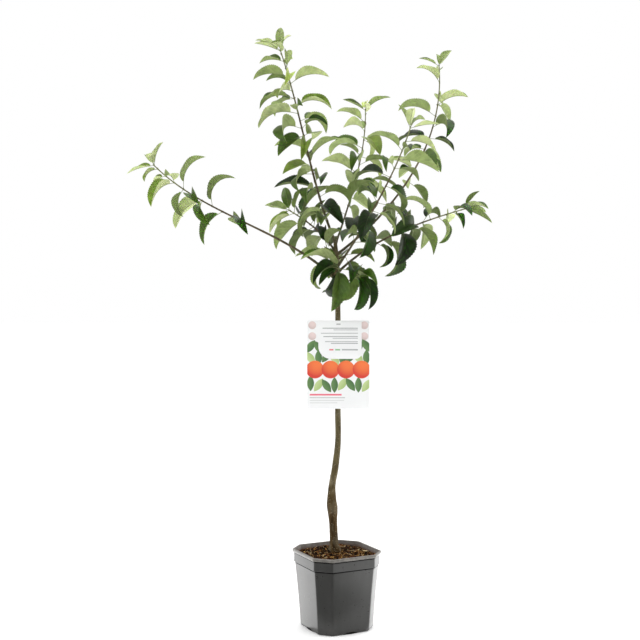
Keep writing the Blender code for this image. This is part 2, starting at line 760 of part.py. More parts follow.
def flap_outline():
    """A flap with square top corners and rounded lower corners, the left one larger."""
    left = FLAP_CENTRE_X - FLAP_WIDTH / 2
    right = FLAP_CENTRE_X + FLAP_WIDTH / 2
    foot = CARD_TOP - FLAP_HEIGHT
    outline = [(right, CARD_TOP), (left, CARD_TOP)]
    for step in range(7):
        turn = math.pi + step / 6 * math.pi / 2
        outline.append((
            left + FLAP_LEFT_ROUND * (1 + math.cos(turn)),
            foot + FLAP_LEFT_ROUND * (1 + math.sin(turn)),
        ))
    for step in range(5):
        turn = 1.5 * math.pi + step / 4 * math.pi / 2
        outline.append((
            right - FLAP_RIGHT_ROUND * (1 - math.cos(turn)),
            foot + FLAP_RIGHT_ROUND * (1 + math.sin(turn)),
        ))
    return outline


def strap_route(centre, start_y):
    """From the card's back, round behind the trunk and back: place and outward direction."""
    radius = STRAP_RADIUS + STRAP_THICK / 2
    route = [(centre[0] + radius, start_y, 1.0, 0.0)]
    for step in range(13):
        turn = step / 12 * math.pi
        route.append((
            centre[0] + radius * math.cos(turn),
            centre[1] + radius * math.sin(turn),
            math.cos(turn),
            math.sin(turn),
        ))
    route.append((centre[0] - radius, start_y, -1.0, 0.0))
    return route


def shade_round(obj):
    obj.data.shade_smooth()
    obj.data.set_sharp_from_angle(angle=math.radians(35))


def build_tree():
    clear_scene()
    parts = new_collection("young_fruit_tree")
    cutters = new_collection("cutters")
    build_pot(parts, cutters)
    build_soil(parts)
    shade_round(build_trunk(parts))
    guides = build_boughs(parts, cutters)
    build_foliage(parts, guides)
    build_label(parts)


build_tree()
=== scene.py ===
import math
import random
from collections import namedtuple

import bmesh
import bpy
import numpy as np
from mathutils import Matrix, Vector, noise


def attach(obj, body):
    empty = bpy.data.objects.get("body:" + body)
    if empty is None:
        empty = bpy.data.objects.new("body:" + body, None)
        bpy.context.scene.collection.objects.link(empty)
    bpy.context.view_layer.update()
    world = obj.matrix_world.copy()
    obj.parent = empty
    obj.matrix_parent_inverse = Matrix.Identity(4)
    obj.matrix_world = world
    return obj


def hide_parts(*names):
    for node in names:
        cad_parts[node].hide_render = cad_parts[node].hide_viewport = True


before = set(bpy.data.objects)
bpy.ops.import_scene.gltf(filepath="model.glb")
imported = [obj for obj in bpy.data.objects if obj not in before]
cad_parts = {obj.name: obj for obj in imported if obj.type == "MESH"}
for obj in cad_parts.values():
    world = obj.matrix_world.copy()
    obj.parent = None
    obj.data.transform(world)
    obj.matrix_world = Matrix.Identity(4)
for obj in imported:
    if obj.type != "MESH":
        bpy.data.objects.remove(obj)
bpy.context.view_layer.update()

# ---------------------------------------------------------------------------------------------
# Viewpoint: a long lens at chest height, a little to the left of the pot and looking very
# slightly down at the middle of the tree. The lens and its sensor are in millimetres, and
# every other length is in metres.
CAMERA_SIDE = -0.040
CAMERA_BACK = 2.6
CAMERA_HEIGHT = 0.790
AIM_HEIGHT = 0.735
LENS_LENGTH = 61.2
SENSOR_WIDTH = 36.0

camera_data = bpy.data.cameras.new("camera")
camera_data.lens = LENS_LENGTH
camera_data.sensor_width = SENSOR_WIDTH
camera = bpy.data.objects.new("camera", camera_data)
camera.location = (CAMERA_SIDE, -CAMERA_BACK, CAMERA_HEIGHT)
tilt = math.atan2(CAMERA_HEIGHT - AIM_HEIGHT, CAMERA_BACK)
camera.rotation_euler = (math.pi / 2 - tilt, 0.0, 0.0)
bpy.context.scene.collection.objects.link(camera)
bpy.context.scene.camera = camera
bpy.context.scene.view_settings.view_transform = "Standard"

# ---------------------------------------------------------------------------------------------
# Studio: a white room, dimmer in front than behind, with soft boxes above and at the sides and
# low panels that glow up from the white floor beside the pot. A grey card on the floor shows
# only in reflections. None of it belongs to the tree.
BACK_WALL = 1.0
FRONT_WALL = 0.34
WALLS_BLEND = (-0.75, 0.15)
SKY = 1.12
SKY_BLEND = (0.25, 0.95)
FLOOR_SIDE = 60.0
FLOOR_WHITE = 0.90
# A painted shadow under the pot, dark where it shows through the drain notches.
FLOOR_SHADED = 0.02
SHADE_EDGE = (0.0725, 0.0745)
FLOOR_GLOW = 0.22
GLOW_EDGE = (0.0735, 0.0950)
GREY_CARD_SPANS = (0.92, 1.70)
GREY_CARD_PLACE = (-0.24, -0.99, 0.002)
GREY_CARD_COLOUR = (0.30, 0.30, 0.30)


def feed(tree, node, inputs):
    """Sets a node's inputs, by name or number, to plain values or to other nodes' outputs."""
    for name, value in inputs.items():
        if isinstance(value, bpy.types.NodeSocket):
            tree.links.new(value, node.inputs[name])
        else:
            node.inputs[name].default_value = value
    return node


def axes_node(tree, vector):
    """A vector's own X, Y and Z."""
    return feed(tree, tree.nodes.new("ShaderNodeSeparateXYZ"), {"Vector": vector}).outputs


def range_node(tree, value, low, high, to_low=0.0, to_high=1.0, curve="LINEAR"):
    """Carries a value from one range to another, and stops at its ends."""
    node = tree.nodes.new("ShaderNodeMapRange")
    node.interpolation_type = curve
    feed(tree, node, {"Value": value, "From Min": low, "From Max": high})
    return feed(tree, node, {"To Min": to_low, "To Max": to_high}).outputs["Result"]


def math_node(tree, operation, first, second=0.0):
    node = tree.nodes.new("ShaderNodeMath")
    node.operation = operation
    return feed(tree, node, {0: first, 1: second}).outputs["Value"]


def light_room():
    """Lights the room by direction. Seen straight on it is plain white."""
    world = bpy.data.worlds.new("white_room")
    bpy.context.scene.world = world
    world.use_nodes = True
    tree = world.node_tree
    heading = axes_node(tree, tree.nodes.new("ShaderNodeTexCoord").outputs["Generated"])
    walls = range_node(tree, heading["Y"], *WALLS_BLEND, FRONT_WALL, BACK_WALL, "SMOOTHSTEP")
    sky = range_node(tree, heading["Z"], *SKY_BLEND, 0.0, SKY, "SMOOTHSTEP")
    seen = tree.nodes.new("ShaderNodeLightPath").outputs["Is Camera Ray"]
    shown = tree.nodes.new("ShaderNodeMix")
    shown.data_type = "FLOAT"
    feed(tree, shown, {"Factor": seen, "A": math_node(tree, "MAXIMUM", walls, sky), "B": 1.0})
    background = {"Color": (1.0, 1.0, 1.0, 1.0), "Strength": shown.outputs["Result"]}
    feed(tree, tree.nodes["Background"], background)


def soft_box(name, place, target, size, power):
    """A rectangular lamp of a size and power, turned to its target and not seen itself."""
    data = bpy.data.lights.new(name, "AREA")
    data.shape = "RECTANGLE"
    data.size = size[0]
    data.size_y = size[1]
    data.energy = power
    lamp = bpy.data.objects.new(name, data)
    lamp.location = place
    aim = Vector(target) - Vector(place)
    lamp.rotation_euler = aim.to_track_quat("-Z", "Y").to_euler()
    lamp.visible_camera = False
    bpy.context.scene.collection.objects.link(lamp)


def new_object(name, bm):
    """Turns a bmesh into an object at the origin."""
    mesh = bpy.data.meshes.new(name)
    bm.to_mesh(mesh)
    bm.free()
    item = bpy.data.objects.new(name, mesh)
    bpy.context.scene.collection.objects.link(item)
    return item


def new_finish(name, colour, roughness, specular=0.5):
    """A plain finish to build on: its material, node tree and shader."""
    material = bpy.data.materials.new(name)
    material.use_nodes = True
    tree = material.node_tree
    shader = tree.nodes["Principled BSDF"]
    feed(tree, shader, {
        "Base Color": (*colour, 1.0), "Roughness": roughness, "Specular IOR Level": specular,
    })
    return material, tree, shader


def studio_sheet(name, spans, place, paint):
    """A level, painted sheet of the studio."""
    bm = bmesh.new()
    bmesh.ops.create_grid(bm, x_segments=2, y_segments=2, size=0.5)
    bmesh.ops.scale(bm, vec=(*spans, 1.0), verts=bm.verts)
    bmesh.ops.translate(bm, vec=place, verts=bm.verts)
    sheet = new_object(name, bm)
    sheet.data.materials.append(paint)
    return sheet


def floor_finish():
    """White paint that glows a little away from the pot, with a painted shadow where the pot stands on it.
    """
    material, tree, shader = new_finish("floor_paint", (FLOOR_WHITE,) * 3, 0.9, 0.1)
    from_middle = tree.nodes.new("ShaderNodeVectorMath")
    from_middle.operation = "LENGTH"
    place = tree.nodes.new("ShaderNodeTexCoord").outputs["Object"]
    out = feed(tree, from_middle, {0: place}).outputs["Value"]
    feed(tree, shader, {
        "Base Color": range_node(tree, out, *SHADE_EDGE, FLOOR_SHADED, FLOOR_WHITE),
        "Emission Color": (1.0, 1.0, 1.0, 1.0),
        "Emission Strength": range_node(tree, out, *GLOW_EDGE, 0.0, FLOOR_GLOW),
    })
    return material


light_room()
soft_box("key_left", (-1.7, -1.5, 2.6), (0.0, 0.0, 0.9), (1.6, 1.6), 26.0)
soft_box("top", (0.3, 0.6, 3.1), (0.0, 0.0, 0.9), (2.0, 2.0), 30.0)
soft_box("edge_left", (-1.3, 0.9, 0.45), (0.0, 0.0, 0.1), (0.9, 0.8), 4.0)
soft_box("edge_right", (1.5, 0.3, 0.60), (0.0, 0.0, 0.3), (0.9, 0.8), 14.0)
soft_box("glow_left", (-0.495, 0.335, 0.004), (-0.495, 0.335, 1.0), (0.85, 0.83), 3.3)
soft_box("glow_right", (0.46, 0.365, 0.004), (0.46, 0.365, 1.0), (0.78, 0.83), 2.7)
soft_box("glow_front", (0.62, -0.22, 0.004), (0.62, -0.22, 1.0), (0.7, 0.5), 0.9)
floor = studio_sheet("floor", (FLOOR_SIDE, FLOOR_SIDE), (0.0, 0.0, 0.0), floor_finish())
card_paint = new_finish("card_paint", GREY_CARD_COLOUR, 0.9)[0]
card = studio_sheet("grey_card", GREY_CARD_SPANS, GREY_CARD_PLACE, card_paint)
card.visible_camera = False
card.visible_diffuse = False
card.visible_transmission = False
card.visible_shadow = False

# ---------------------------------------------------------------------------------------------
# Pot: one injection-moulded shell of dark grey recycled plastic, square with cut corners. It has
# a rolled lip, a stepped collar and a drain notch in the foot of each long side. It stands free.
POT_HEIGHT = 0.184
POT_TURN = math.radians(26.5)
LIP_SIDE = 0.1836
LIP_CUT = 0.035
LIP_DEPTH = 0.0075
LIP_OVERHANG = 0.0040
LIP_SQUARENESS = 0.35
COLLAR_DEPTH = 0.031
COLLAR_STEP = 0.0024
GROOVE_DEPTH = 0.0009
GROOVE_HEIGHT = 0.0030
BASE_SIDE = 0.147
BASE_CUT = 0.026
BASE_ROUND = 0.005
BODY_HOLLOW = 0.0007
COLLAR_EASE_DROP = 0.0002
COLLAR_EASE_INSET = 0.0005
EDGE_EASE = 0.0004
LIP_SEAT = 0.0006
EDGE_DROP = 0.0003
RIM_INNER_DROP = 0.0010
POT_WALL = 0.0018
POT_FLOOR = 0.0025
POT_CORNER = 0.006
CORNER_STEPS = 5
ROUND_STEPS = 5
BODY_STEPS = 9
LIP_STEPS = 10
NOTCH_WIDTH = 0.024
NOTCH_HEIGHT = 0.0045
NOTCH_REACH = 0.012
NOTCH_ROUND = 0.0016
INSET_CUT = 2 - math.sqrt(2)
SHARP_ANGLE = 35
PLASTIC_DARK = (0.023, 0.023, 0.021)
PLASTIC = (0.026, 0.026, 0.024)
PLASTIC_LIGHT = (0.029, 0.029, 0.027)
# Painted shade in the creases under the lip and under the collar.
PLASTIC_CREASE_SHADE = (0.004, 0.004, 0.004)
# Rubbed wear on the lip, made light enough to stand in as a painted highlight.
PLASTIC_RUBBED_HIGHLIGHT = (0.190, 0.178, 0.160)
PLASTIC_SOILED = (0.150, 0.102, 0.080)
FOOT_DUST = (0.16, 0.11, 0.07)
FOOT_DUST_REACH = 0.022


def cut_square(side, cut, height, inset=0.0, corner=POT_CORNER):
    """A ring round a square with cut corners, every corner softly rounded, as the pot stands."""
    half = side / 2 - inset
    flat = half - (cut - inset * INSET_CUT)
    corners = [(-flat, -half), (flat, -half), (half, -flat), (half, flat)]
    corners += [(-x, -y) for x, y in corners]
    ring = []
    for index, (x, y) in enumerate(corners):
        here = Vector((x, y))
        back = (Vector(corners[index - 1]) - here).normalized()
        ahead = (Vector(corners[(index + 1) % 8]) - here).normalized()
        opening = back.angle(ahead)
        middle = here + (back + ahead).normalized() * corner / math.sin(opening / 2)
        first = here + back * corner / math.tan(opening / 2) - middle
        sweep = math.pi - opening
        for step in range(CORNER_STEPS):
            turn = Matrix.Rotation(sweep * step / (CORNER_STEPS - 1), 2)
            point = middle + turn @ first
            ring.append((
                point.x * math.cos(POT_TURN) - point.y * math.sin(POT_TURN),
                point.x * math.sin(POT_TURN) + point.y * math.cos(POT_TURN),
                height,
            ))
    return ring


def body_outline(height):
    """Side and cut of the pot's tapered body at a height."""
    share = height / (POT_HEIGHT - COLLAR_DEPTH)
    top_side = LIP_SIDE - 2 * (LIP_OVERHANG + COLLAR_STEP)
    top_cut = LIP_CUT - (LIP_OVERHANG + COLLAR_STEP) * INSET_CUT
    side = BASE_SIDE + (top_side - BASE_SIDE) * share
    cut = BASE_CUT + (top_cut - BASE_CUT) * share
    return side, cut


def grow_face(bm, face):
    """Extrudes one face of a body in place, and returns its new end."""
    grown = bmesh.ops.extrude_face_region(bm, geom=[face, *face.edges])["geom"]
    return next(item for item in grown if isinstance(item, bmesh.types.BMFace))


def grow_body(bm, rings, kind=0):
    """Grows one closed body through rings of equal count, from its first face to its last."""
    face = bm.faces.new([bm.verts.new(point) for point in rings[0]])
    face.material_index = kind
    for ring in rings[1:]:
        face = grow_face(bm, face)
        for vert, point in zip(face.verts, ring):
            vert.co = point


def loft(rings):
    """One closed body on its own, facing outwards."""
    bm = bmesh.new()
    grow_body(bm, rings)
    bmesh.ops.recalc_face_normals(bm, faces=bm.faces)
    return bm


def add_piece(name, bm, materials, sharp=SHARP_ANGLE):
    """Turns a bmesh into a finished object, smooth but for its sharp edges."""
    piece = new_object(name, bm)
    for material in materials:
        piece.data.materials.append(material)
    piece.data.shade_smooth()
    piece.data.set_sharp_from_angle(angle=math.radians(sharp))
    return piece


def place_node(tree, stretch=(1.0, 1.0, 1.0)):
    """Object coordinates, stretched along each axis."""
    place = tree.nodes.new("ShaderNodeTexCoord").outputs["Object"]
    mapping = tree.nodes.new("ShaderNodeMapping")
    return feed(tree, mapping, {"Vector": place, "Scale": stretch}).outputs["Vector"]


def noise_node(tree, vector, scale, detail=4.0, rough=0.55):
    node = feed(tree, tree.nodes.new("ShaderNodeTexNoise"), {"Vector": vector, "Scale": scale})
    return feed(tree, node, {"Detail": detail, "Roughness": rough}).outputs["Fac"]


def attribute_node(tree, name):
    node = tree.nodes.new("ShaderNodeAttribute")
    node.attribute_name = name
    return node.outputs["Fac"]


def blend_node(tree, factor, first, second):
    """Mixes two colours, each a plain colour or another node's output."""
    node = tree.nodes.new("ShaderNodeMix")
    node.data_type = "RGBA"
    first, second = ((*c, 1.0) if isinstance(c, tuple) else c for c in (first, second))
    return feed(tree, node, {"Factor": factor, 6: first, 7: second}).outputs[2]


def total(tree, first, second):
    return math_node(tree, "ADD", first, second)


def difference(tree, first, second):
    return math_node(tree, "SUBTRACT", first, second)


def product(tree, first, second):
    return math_node(tree, "MULTIPLY", first, second)


def bump_node(tree, height, shader, distance, strength=1.0):
    """Raises a finish by a height."""
    bump = tree.nodes.new("ShaderNodeBump")
    feed(tree, bump, {"Height": height, "Distance": distance, "Strength": strength})
    feed(tree, shader, {"Normal": bump.outputs["Normal"]})


def pot_finish():
    """Dark grey moulded plastic: a rubbed lip with a painted highlight, a dusty foot, soil inside and
    painted shade in the creases.
    """
    material, tree, shader = new_finish("pot_plastic", PLASTIC, 0.28)
    flow = noise_node(tree, place_node(tree, (1.0, 1.0, 0.12)), 60.0, 3.0)
    dust = noise_node(tree, place_node(tree), 95.0, 5.0, 0.65)
    height = axes_node(tree, place_node(tree))["Z"]
    inside = attribute_node(tree, "inside")
    lip_foot = POT_HEIGHT - LIP_DEPTH
    # Painted shade: a dark band with little shine under the lip and under the collar.
    crease_shade = 0.0
    for top in (POT_HEIGHT - COLLAR_DEPTH, lip_foot):
        off = math_node(tree, "ABSOLUTE", difference(tree, height, top - GROOVE_HEIGHT / 2))
        near = range_node(tree, off, GROOVE_HEIGHT * 0.6, GROOVE_HEIGHT * 0.4)
        crease_shade = total(tree, near, crease_shade)
    crease_shade = product(tree, crease_shade, difference(tree, 1.0, inside))
    # Painted highlight: the whole lip lighter, in patches like rubbed wear.
    lip = range_node(tree, height, lip_foot - EDGE_EASE, lip_foot + EDGE_EASE)
    rubbed_highlight = product(tree, lip, range_node(tree, dust, 0.35, 0.65, 0.40, 1.0))
    near_foot = range_node(tree, height, FOOT_DUST_REACH, 0.0, 0.0, 0.30)
    dusty = product(tree, near_foot, range_node(tree, dust, 0.56, 0.74))
    soiled = product(tree, inside, range_node(tree, dust, 0.3, 0.7, 0.55, 1.0))
    soiled = product(tree, soiled, difference(tree, 1.0, rubbed_highlight))
    base = blend_node(tree, range_node(tree, flow, 0.3, 0.7), PLASTIC_DARK, PLASTIC_LIGHT)
    base = blend_node(tree, dusty, base, FOOT_DUST)
    base = blend_node(tree, rubbed_highlight, base, PLASTIC_RUBBED_HIGHLIGHT)
    base = blend_node(tree, soiled, base, PLASTIC_SOILED)
    base = blend_node(tree, crease_shade, base, PLASTIC_CREASE_SHADE)
    worn = range_node(tree, dust, 0.3, 0.7, 0.27, 0.31)
    rough = total(tree, product(tree, dusty, 0.4), worn)
    feed(tree, shader, {
        "Base Color": base,
        "Specular IOR Level": range_node(tree, crease_shade, 0.0, 1.0, 0.5, 0.08),
        "Roughness": total(tree, rough, product(tree, inside, 0.35)),
    })
    bump_node(tree, noise_node(tree, place_node(tree), 900.0, 2.0), shader, 0.00003)
    return material


def pot_rings():
    """Rings from the underside up the outside, over the rolled lip and down the inside."""
    collar_foot = POT_HEIGHT - COLLAR_DEPTH
    collar_side = LIP_SIDE - 2 * LIP_OVERHANG
    collar_cut = LIP_CUT - LIP_OVERHANG * INSET_CUT
    neck_side, neck_cut = body_outline(collar_foot)
    floor_side, floor_cut = body_outline(POT_FLOOR)
    rings = []
    for step in range(ROUND_STEPS + 1):
        turn = step / ROUND_STEPS * math.pi / 2
        height = BASE_ROUND * (1 - math.cos(turn))
        side, cut = body_outline(height)
        rings.append(cut_square(side, cut, height, BASE_ROUND * (1 - math.sin(turn))))
    for step in range(1, BODY_STEPS + 1):
        height = BASE_ROUND + (collar_foot - 2 * GROOVE_HEIGHT - BASE_ROUND) * step / BODY_STEPS
        side, cut = body_outline(height)
        hollow = BODY_HOLLOW * math.sin(math.pi * step / BODY_STEPS)
        rings.append(cut_square(side, cut, height, hollow))
    for height, inset in (
        (collar_foot - GROOVE_HEIGHT, 0.0),
        (collar_foot - GROOVE_HEIGHT * 0.8, GROOVE_DEPTH),
        (collar_foot - EDGE_DROP, GROOVE_DEPTH),
    ):
        rings.append(cut_square(neck_side, neck_cut, height, inset))
    for height, inset in (
        (collar_foot - COLLAR_EASE_DROP, COLLAR_EASE_INSET),
        (collar_foot + EDGE_EASE, 0.0),
        (POT_HEIGHT - LIP_DEPTH - LIP_SEAT, 0.0),
    ):
        rings.append(cut_square(collar_side, collar_cut, height, inset))
    for step in range(LIP_STEPS + 1):
        turn = step / LIP_STEPS * math.pi
        height = POT_HEIGHT - LIP_DEPTH / 2 - math.cos(turn) * LIP_DEPTH / 2
        bulge = LIP_OVERHANG * math.sin(turn) ** LIP_SQUARENESS
        rings.append(cut_square(collar_side, collar_cut, height, -bulge, POT_CORNER + bulge))
    for height, inset in (
        (POT_HEIGHT - EDGE_DROP, POT_WALL - EDGE_EASE),
        (POT_HEIGHT - RIM_INNER_DROP, POT_WALL),
        (collar_foot + POT_WALL, POT_WALL),
    ):
        rings.append(cut_square(collar_side, collar_cut, height, inset))
    rings.append(cut_square(neck_side, neck_cut, collar_foot - COLLAR_STEP, POT_WALL))
    rings.append(cut_square(floor_side, floor_cut, POT_FLOOR + BASE_ROUND / 2, POT_WALL))
    rings.append(cut_square(floor_side, floor_cut, POT_FLOOR, POT_WALL + BASE_ROUND / 2))
    return rings


def notch_block(side):
    """The rounded block that leaves a drain notch in the foot of one long side."""
    heading = POT_TURN + side * math.pi / 2
    reach = BASE_SIDE / 2 - NOTCH_REACH / 2 + BASE_ROUND / 2
    bm = bmesh.new()
    bmesh.ops.create_cube(bm, size=1.0)
    bmesh.ops.scale(bm, vec=(NOTCH_REACH, NOTCH_WIDTH, 2 * NOTCH_HEIGHT), verts=bm.verts)
    ends = [
        edge for edge in bm.edges
        if abs(edge.verts[0].co.x - edge.verts[1].co.x) > NOTCH_REACH / 2
    ]
    bmesh.ops.bevel(
        bm, geom=ends, offset=NOTCH_ROUND, segments=3, profile=0.5, affect="EDGES", material=-1,
    )
    bmesh.ops.rotate(bm, matrix=Matrix.Rotation(heading, 3, "Z"), verts=bm.verts)
    spot = (reach * math.cos(heading), reach * math.sin(heading), 0.0)
    bmesh.ops.translate(bm, vec=spot, verts=bm.verts)
    return new_object("notch_block", bm)


def carve(piece, blocks):
    """Cuts blocks out of a piece for good, and removes them."""
    for block in blocks:
        cut = piece.modifiers.new("cut", "BOOLEAN")
        cut.operation = "DIFFERENCE"
        cut.solver = "EXACT"
        cut.object = block
    view = bpy.context.evaluated_depsgraph_get()
    view.update()
    mesh = bpy.data.meshes.new_from_object(piece.evaluated_get(view))
    piece.modifiers.clear()
    piece.data = mesh
    for block in blocks:
        bpy.data.objects.remove(block, do_unlink=True)
    mesh.shade_smooth()
    mesh.set_sharp_from_angle(angle=math.radians(SHARP_ANGLE))


def mark_inside(piece):
    """Stores 1 on every point of the shell that faces the middle, and 0 on the rest."""
    mesh = piece.data
    inside = mesh.attributes.new("inside", "FLOAT", "POINT")
    for vert, normal, value in zip(mesh.vertices, mesh.vertex_normals, inside.data):
        value.value = float(vert.co.xy.dot(normal.vector.xy) < 0)


pot_shell = add_piece("pot_shell", loft(pot_rings()), [pot_finish()])
carve(pot_shell, [notch_block(side) for side in range(4)])
mark_inside(pot_shell)
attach(pot_shell, "root")
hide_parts("pot")

# ---------------------------------------------------------------------------------------------
# Potting mix: composted bark and coir fibre, filled loosely to just under the lip and mounded a
# little round the trunk. Chips and fibres lie loose on a crumbly bed.
SOIL_EDGE = 0.175
SOIL_TOP = 0.181
SOIL_GAP = 0.0004
SOIL_SETTLE = 0.0012
MOUND_TOP = 0.020
MOUND_SLOPE = 0.062
LUMP_HEIGHT = 0.0024
CRUMB_HEIGHT = 0.0014
BED_RINGS = 34
BED_REACH = 0.080
BED_HALF = 0.0780
BED_CORNER = 0.1330
BED_CLEAR = 0.012
TRUNK_OFF_CENTRE = 0.006
MIX_DARK = (0.004, 0.002, 0.001)
MIX = (0.03, 0.016, 0.007)
MIX_LIGHT = (0.038, 0.016, 0.004)
RED_CRUMB = (0.120, 0.036, 0.009)
PALE_CRUMB = (0.44, 0.26, 0.08)
CHIPS = 620
CHIP_SIZE = (0.003, 0.0085)
CHIP_SEED = 41
FIBRES = 230
FIBRE_BED = 0.074
FIBRE_LENGTH = (0.006, 0.020)
FIBRE_THICK = (0.00018, 0.00042)
FIBRE_RISE = (0.0002, 0.0030)
FIBRE_LIFT = 0.0006
FIBRE_STEPS = 6
FIBRE_REACH = 0.083
FIBRE_KINDS = (2, 3, 3, 4)
FIBRE_SEED = 73
CHIP_COLOURS = (
    ("bark_dark", (0.009, 0.004, 0.002)),
    ("bark_red", (0.095, 0.026, 0.009)),
    ("bark_brown", (0.056, 0.026, 0.008)),
    ("bark_ochre", (0.270, 0.135, 0.038)),
    ("straw_pale", (0.680, 0.520, 0.290)),
)
# Up to which of a hundred chips each colour is dealt.
CHIP_SHARES = (46, 67, 87, 95, 100)


def soil_height(x, y):
    """Height of the bed: level at the walls, with a low mound and an uneven, crumbly skin."""
    down = min(1.0, max(0.0, (math.hypot(x, y) - MOUND_TOP) / MOUND_SLOPE))
    mound = (SOIL_TOP - SOIL_EDGE) * (1 - down) ** 1.1
    lumps = noise.noise(Vector((x * 55, y * 55, 0.3))) * LUMP_HEIGHT
    crumbs = noise.noise(Vector((x * 210, y * 210, 1.7))) * CRUMB_HEIGHT
    return SOIL_EDGE - SOIL_SETTLE + mound + lumps + crumbs


def soil_rings():
    """Rings up the sides of the bed, then inwards over its top."""
    inset = POT_WALL + SOIL_GAP
    foot_side, foot_cut = body_outline(POT_FLOOR)
    neck = POT_HEIGHT - COLLAR_DEPTH - COLLAR_STEP
    neck_side, neck_cut = body_outline(neck)
    rings = [
        cut_square(foot_side, foot_cut, POT_FLOOR + SOIL_GAP, inset + BASE_ROUND / 2),
        cut_square(foot_side, foot_cut, POT_FLOOR + BASE_ROUND / 2, inset),
        cut_square(neck_side, neck_cut, neck - 0.002, inset),
    ]
    edge = cut_square(neck_side, neck_cut, SOIL_EDGE, inset)
    for step in range(BED_RINGS):
        share = (1 - step / BED_RINGS) ** 0.9
        level = [(x * share, y * share) for x, y, _ in edge]
        rings.append([(x, y, soil_height(x, y)) for x, y in level])
    return rings


def soil_finish():
    """Dark crumbly compost, flecked with red-brown and straw-coloured crumbs."""
    material, tree, shader = new_finish("potting_mix", MIX, 0.95, 0.05)
    coarse = noise_node(tree, place_node(tree), 240.0, 6.0, 0.7)
    fleck = tree.nodes.new("ShaderNodeTexVoronoi")
    feed(tree, fleck, {"Vector": place_node(tree, (1.0, 0.5, 1.0)), "Scale": 420.0})
    draws = tree.nodes.new("ShaderNodeSeparateColor")
    feed(tree, draws, {"Color": fleck.outputs["Color"]})
    red = range_node(tree, draws.outputs["Red"], 0.66, 0.76)
    pale = range_node(tree, draws.outputs["Green"], 0.86, 0.93)
    base = blend_node(tree, range_node(tree, coarse, 0.35, 0.65), MIX_DARK, MIX_LIGHT)
    base = blend_node(tree, red, base, RED_CRUMB)
    feed(tree, shader, {"Base Color": blend_node(tree, pale, base, PALE_CRUMB)})
    bump_node(tree, coarse, shader, 0.0012)
    return material


def on_bed(rng, reach=BED_REACH):
    """A random spot on the bed, inside the pot's walls and clear of the trunk."""
    while True:
        x = rng.uniform(-reach, reach)
        y = rng.uniform(-reach, reach)
        along = abs(x * math.cos(POT_TURN) + y * math.sin(POT_TURN))
        aside = abs(y * math.cos(POT_TURN) - x * math.sin(POT_TURN))
        inside = max(along, aside) < BED_HALF and along + aside < BED_CORNER
        if inside and math.hypot(x + TRUNK_OFF_CENTRE, y) > BED_CLEAR:
            return x, y


def tinted(colour, share, lift=0.0):
    """A colour made darker or lighter by a share, and lifted towards white."""
    return tuple(min(1.0, value * share + lift) for value in colour)


def chip_finish(name, colour):
    """Splintered bark, darker along its grain."""
    material, tree, shader = new_finish(name, colour, 0.88, 0.06)
    grain = noise_node(tree, place_node(tree), 700.0, 4.0, 0.7)
    streak = range_node(tree, grain, 0.3, 0.7)
    feed(tree, shader, {"Base Color": blend_node(tree, streak, tinted(colour, 0.45), colour)})
    bump_node(tree, grain, shader, 0.0005)
    return material


def scatter_chips():
    """Flat splinters of bark, each a squashed block with a broken outline."""
    rng = random.Random(CHIP_SEED)
    bm = bmesh.new()
    for _ in range(CHIPS):
        x, y = on_bed(rng)
        size = rng.uniform(*CHIP_SIZE) * rng.choice((1.0, 1.0, 1.35))
        made = bmesh.ops.create_cube(bm, size=1.0)["verts"]
        for vert in made:
            vert.co.x *= 1 + rng.uniform(-0.25, 0.25)
            vert.co.y *= 1 + rng.uniform(-0.45, 0.45)
        width = size * rng.uniform(0.22, 0.6)
        flat = Matrix.Diagonal((size, width, size * rng.uniform(0.10, 0.22)))
        turn = Matrix.Rotation(rng.uniform(0, math.tau), 3, "Z")
        turn = turn @ Matrix.Rotation(rng.gauss(0, 0.30), 3, "Y")
        turn = turn @ Matrix.Rotation(rng.gauss(0, 0.35), 3, "X")
        bmesh.ops.transform(bm, matrix=(turn @ flat).to_4x4(), verts=made)
        lift = soil_height(x, y) + size * rng.uniform(0.02, 0.16)
        bmesh.ops.translate(bm, vec=(x, y, lift), verts=made)
        draw = rng.uniform(0, 100)
        kind = next(slot for slot, share in enumerate(CHIP_SHARES) if draw <= share)
        for face in {face for vert in made for face in vert.link_faces}:
            face.material_index = kind
    return bm


def scatter_fibres():
    """Thin curved strands of coir and straw lying over the bed."""
    rng = random.Random(FIBRE_SEED)
    bm = bmesh.new()
    for _ in range(FIBRES):
        x, y = on_bed(rng, FIBRE_BED)
        heading = rng.uniform(0, math.tau)
        curl = rng.uniform(-2.6, 2.6)
        length = rng.uniform(*FIBRE_LENGTH)
        thick = rng.uniform(*FIBRE_THICK)
        rise = rng.uniform(*FIBRE_RISE)
        rings = []
        for step in range(FIBRE_STEPS + 1):
            share = step / FIBRE_STEPS
            turn = heading + curl * share
            here_x = x + length * share * math.cos(heading + curl * share / 2)
            here_y = y + length * share * math.sin(heading + curl * share / 2)
            inward = min(1.0, FIBRE_REACH / math.hypot(here_x, here_y))
            here_x *= inward
            here_y *= inward
            lift = soil_height(here_x, here_y) + FIBRE_LIFT + rise * math.sin(math.pi * share)
            ring = []
            for corner in range(3):
                angle = corner / 3 * math.tau
                side = thick * math.cos(angle)
                ring.append((
                    here_x - side * math.sin(turn), here_y + side * math.cos(turn),
                    lift + thick * math.sin(angle),
                ))
            rings.append(ring)
        grow_body(bm, rings, rng.choice(FIBRE_KINDS))
    bmesh.ops.recalc_face_normals(bm, faces=bm.faces)
    return bm


chip_finishes = [chip_finish(name, colour) for name, colour in CHIP_COLOURS]
soil_bed = add_piece("soil_bed", loft(soil_rings()), [soil_finish()], 60)
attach(soil_bed, "root")
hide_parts("soil")
for name, scatter in (("soil_chips", scatter_chips), ("soil_fibres", scatter_fibres)):
    litter = add_piece(name, scatter(), chip_finishes, 25)
    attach(litter, "root")

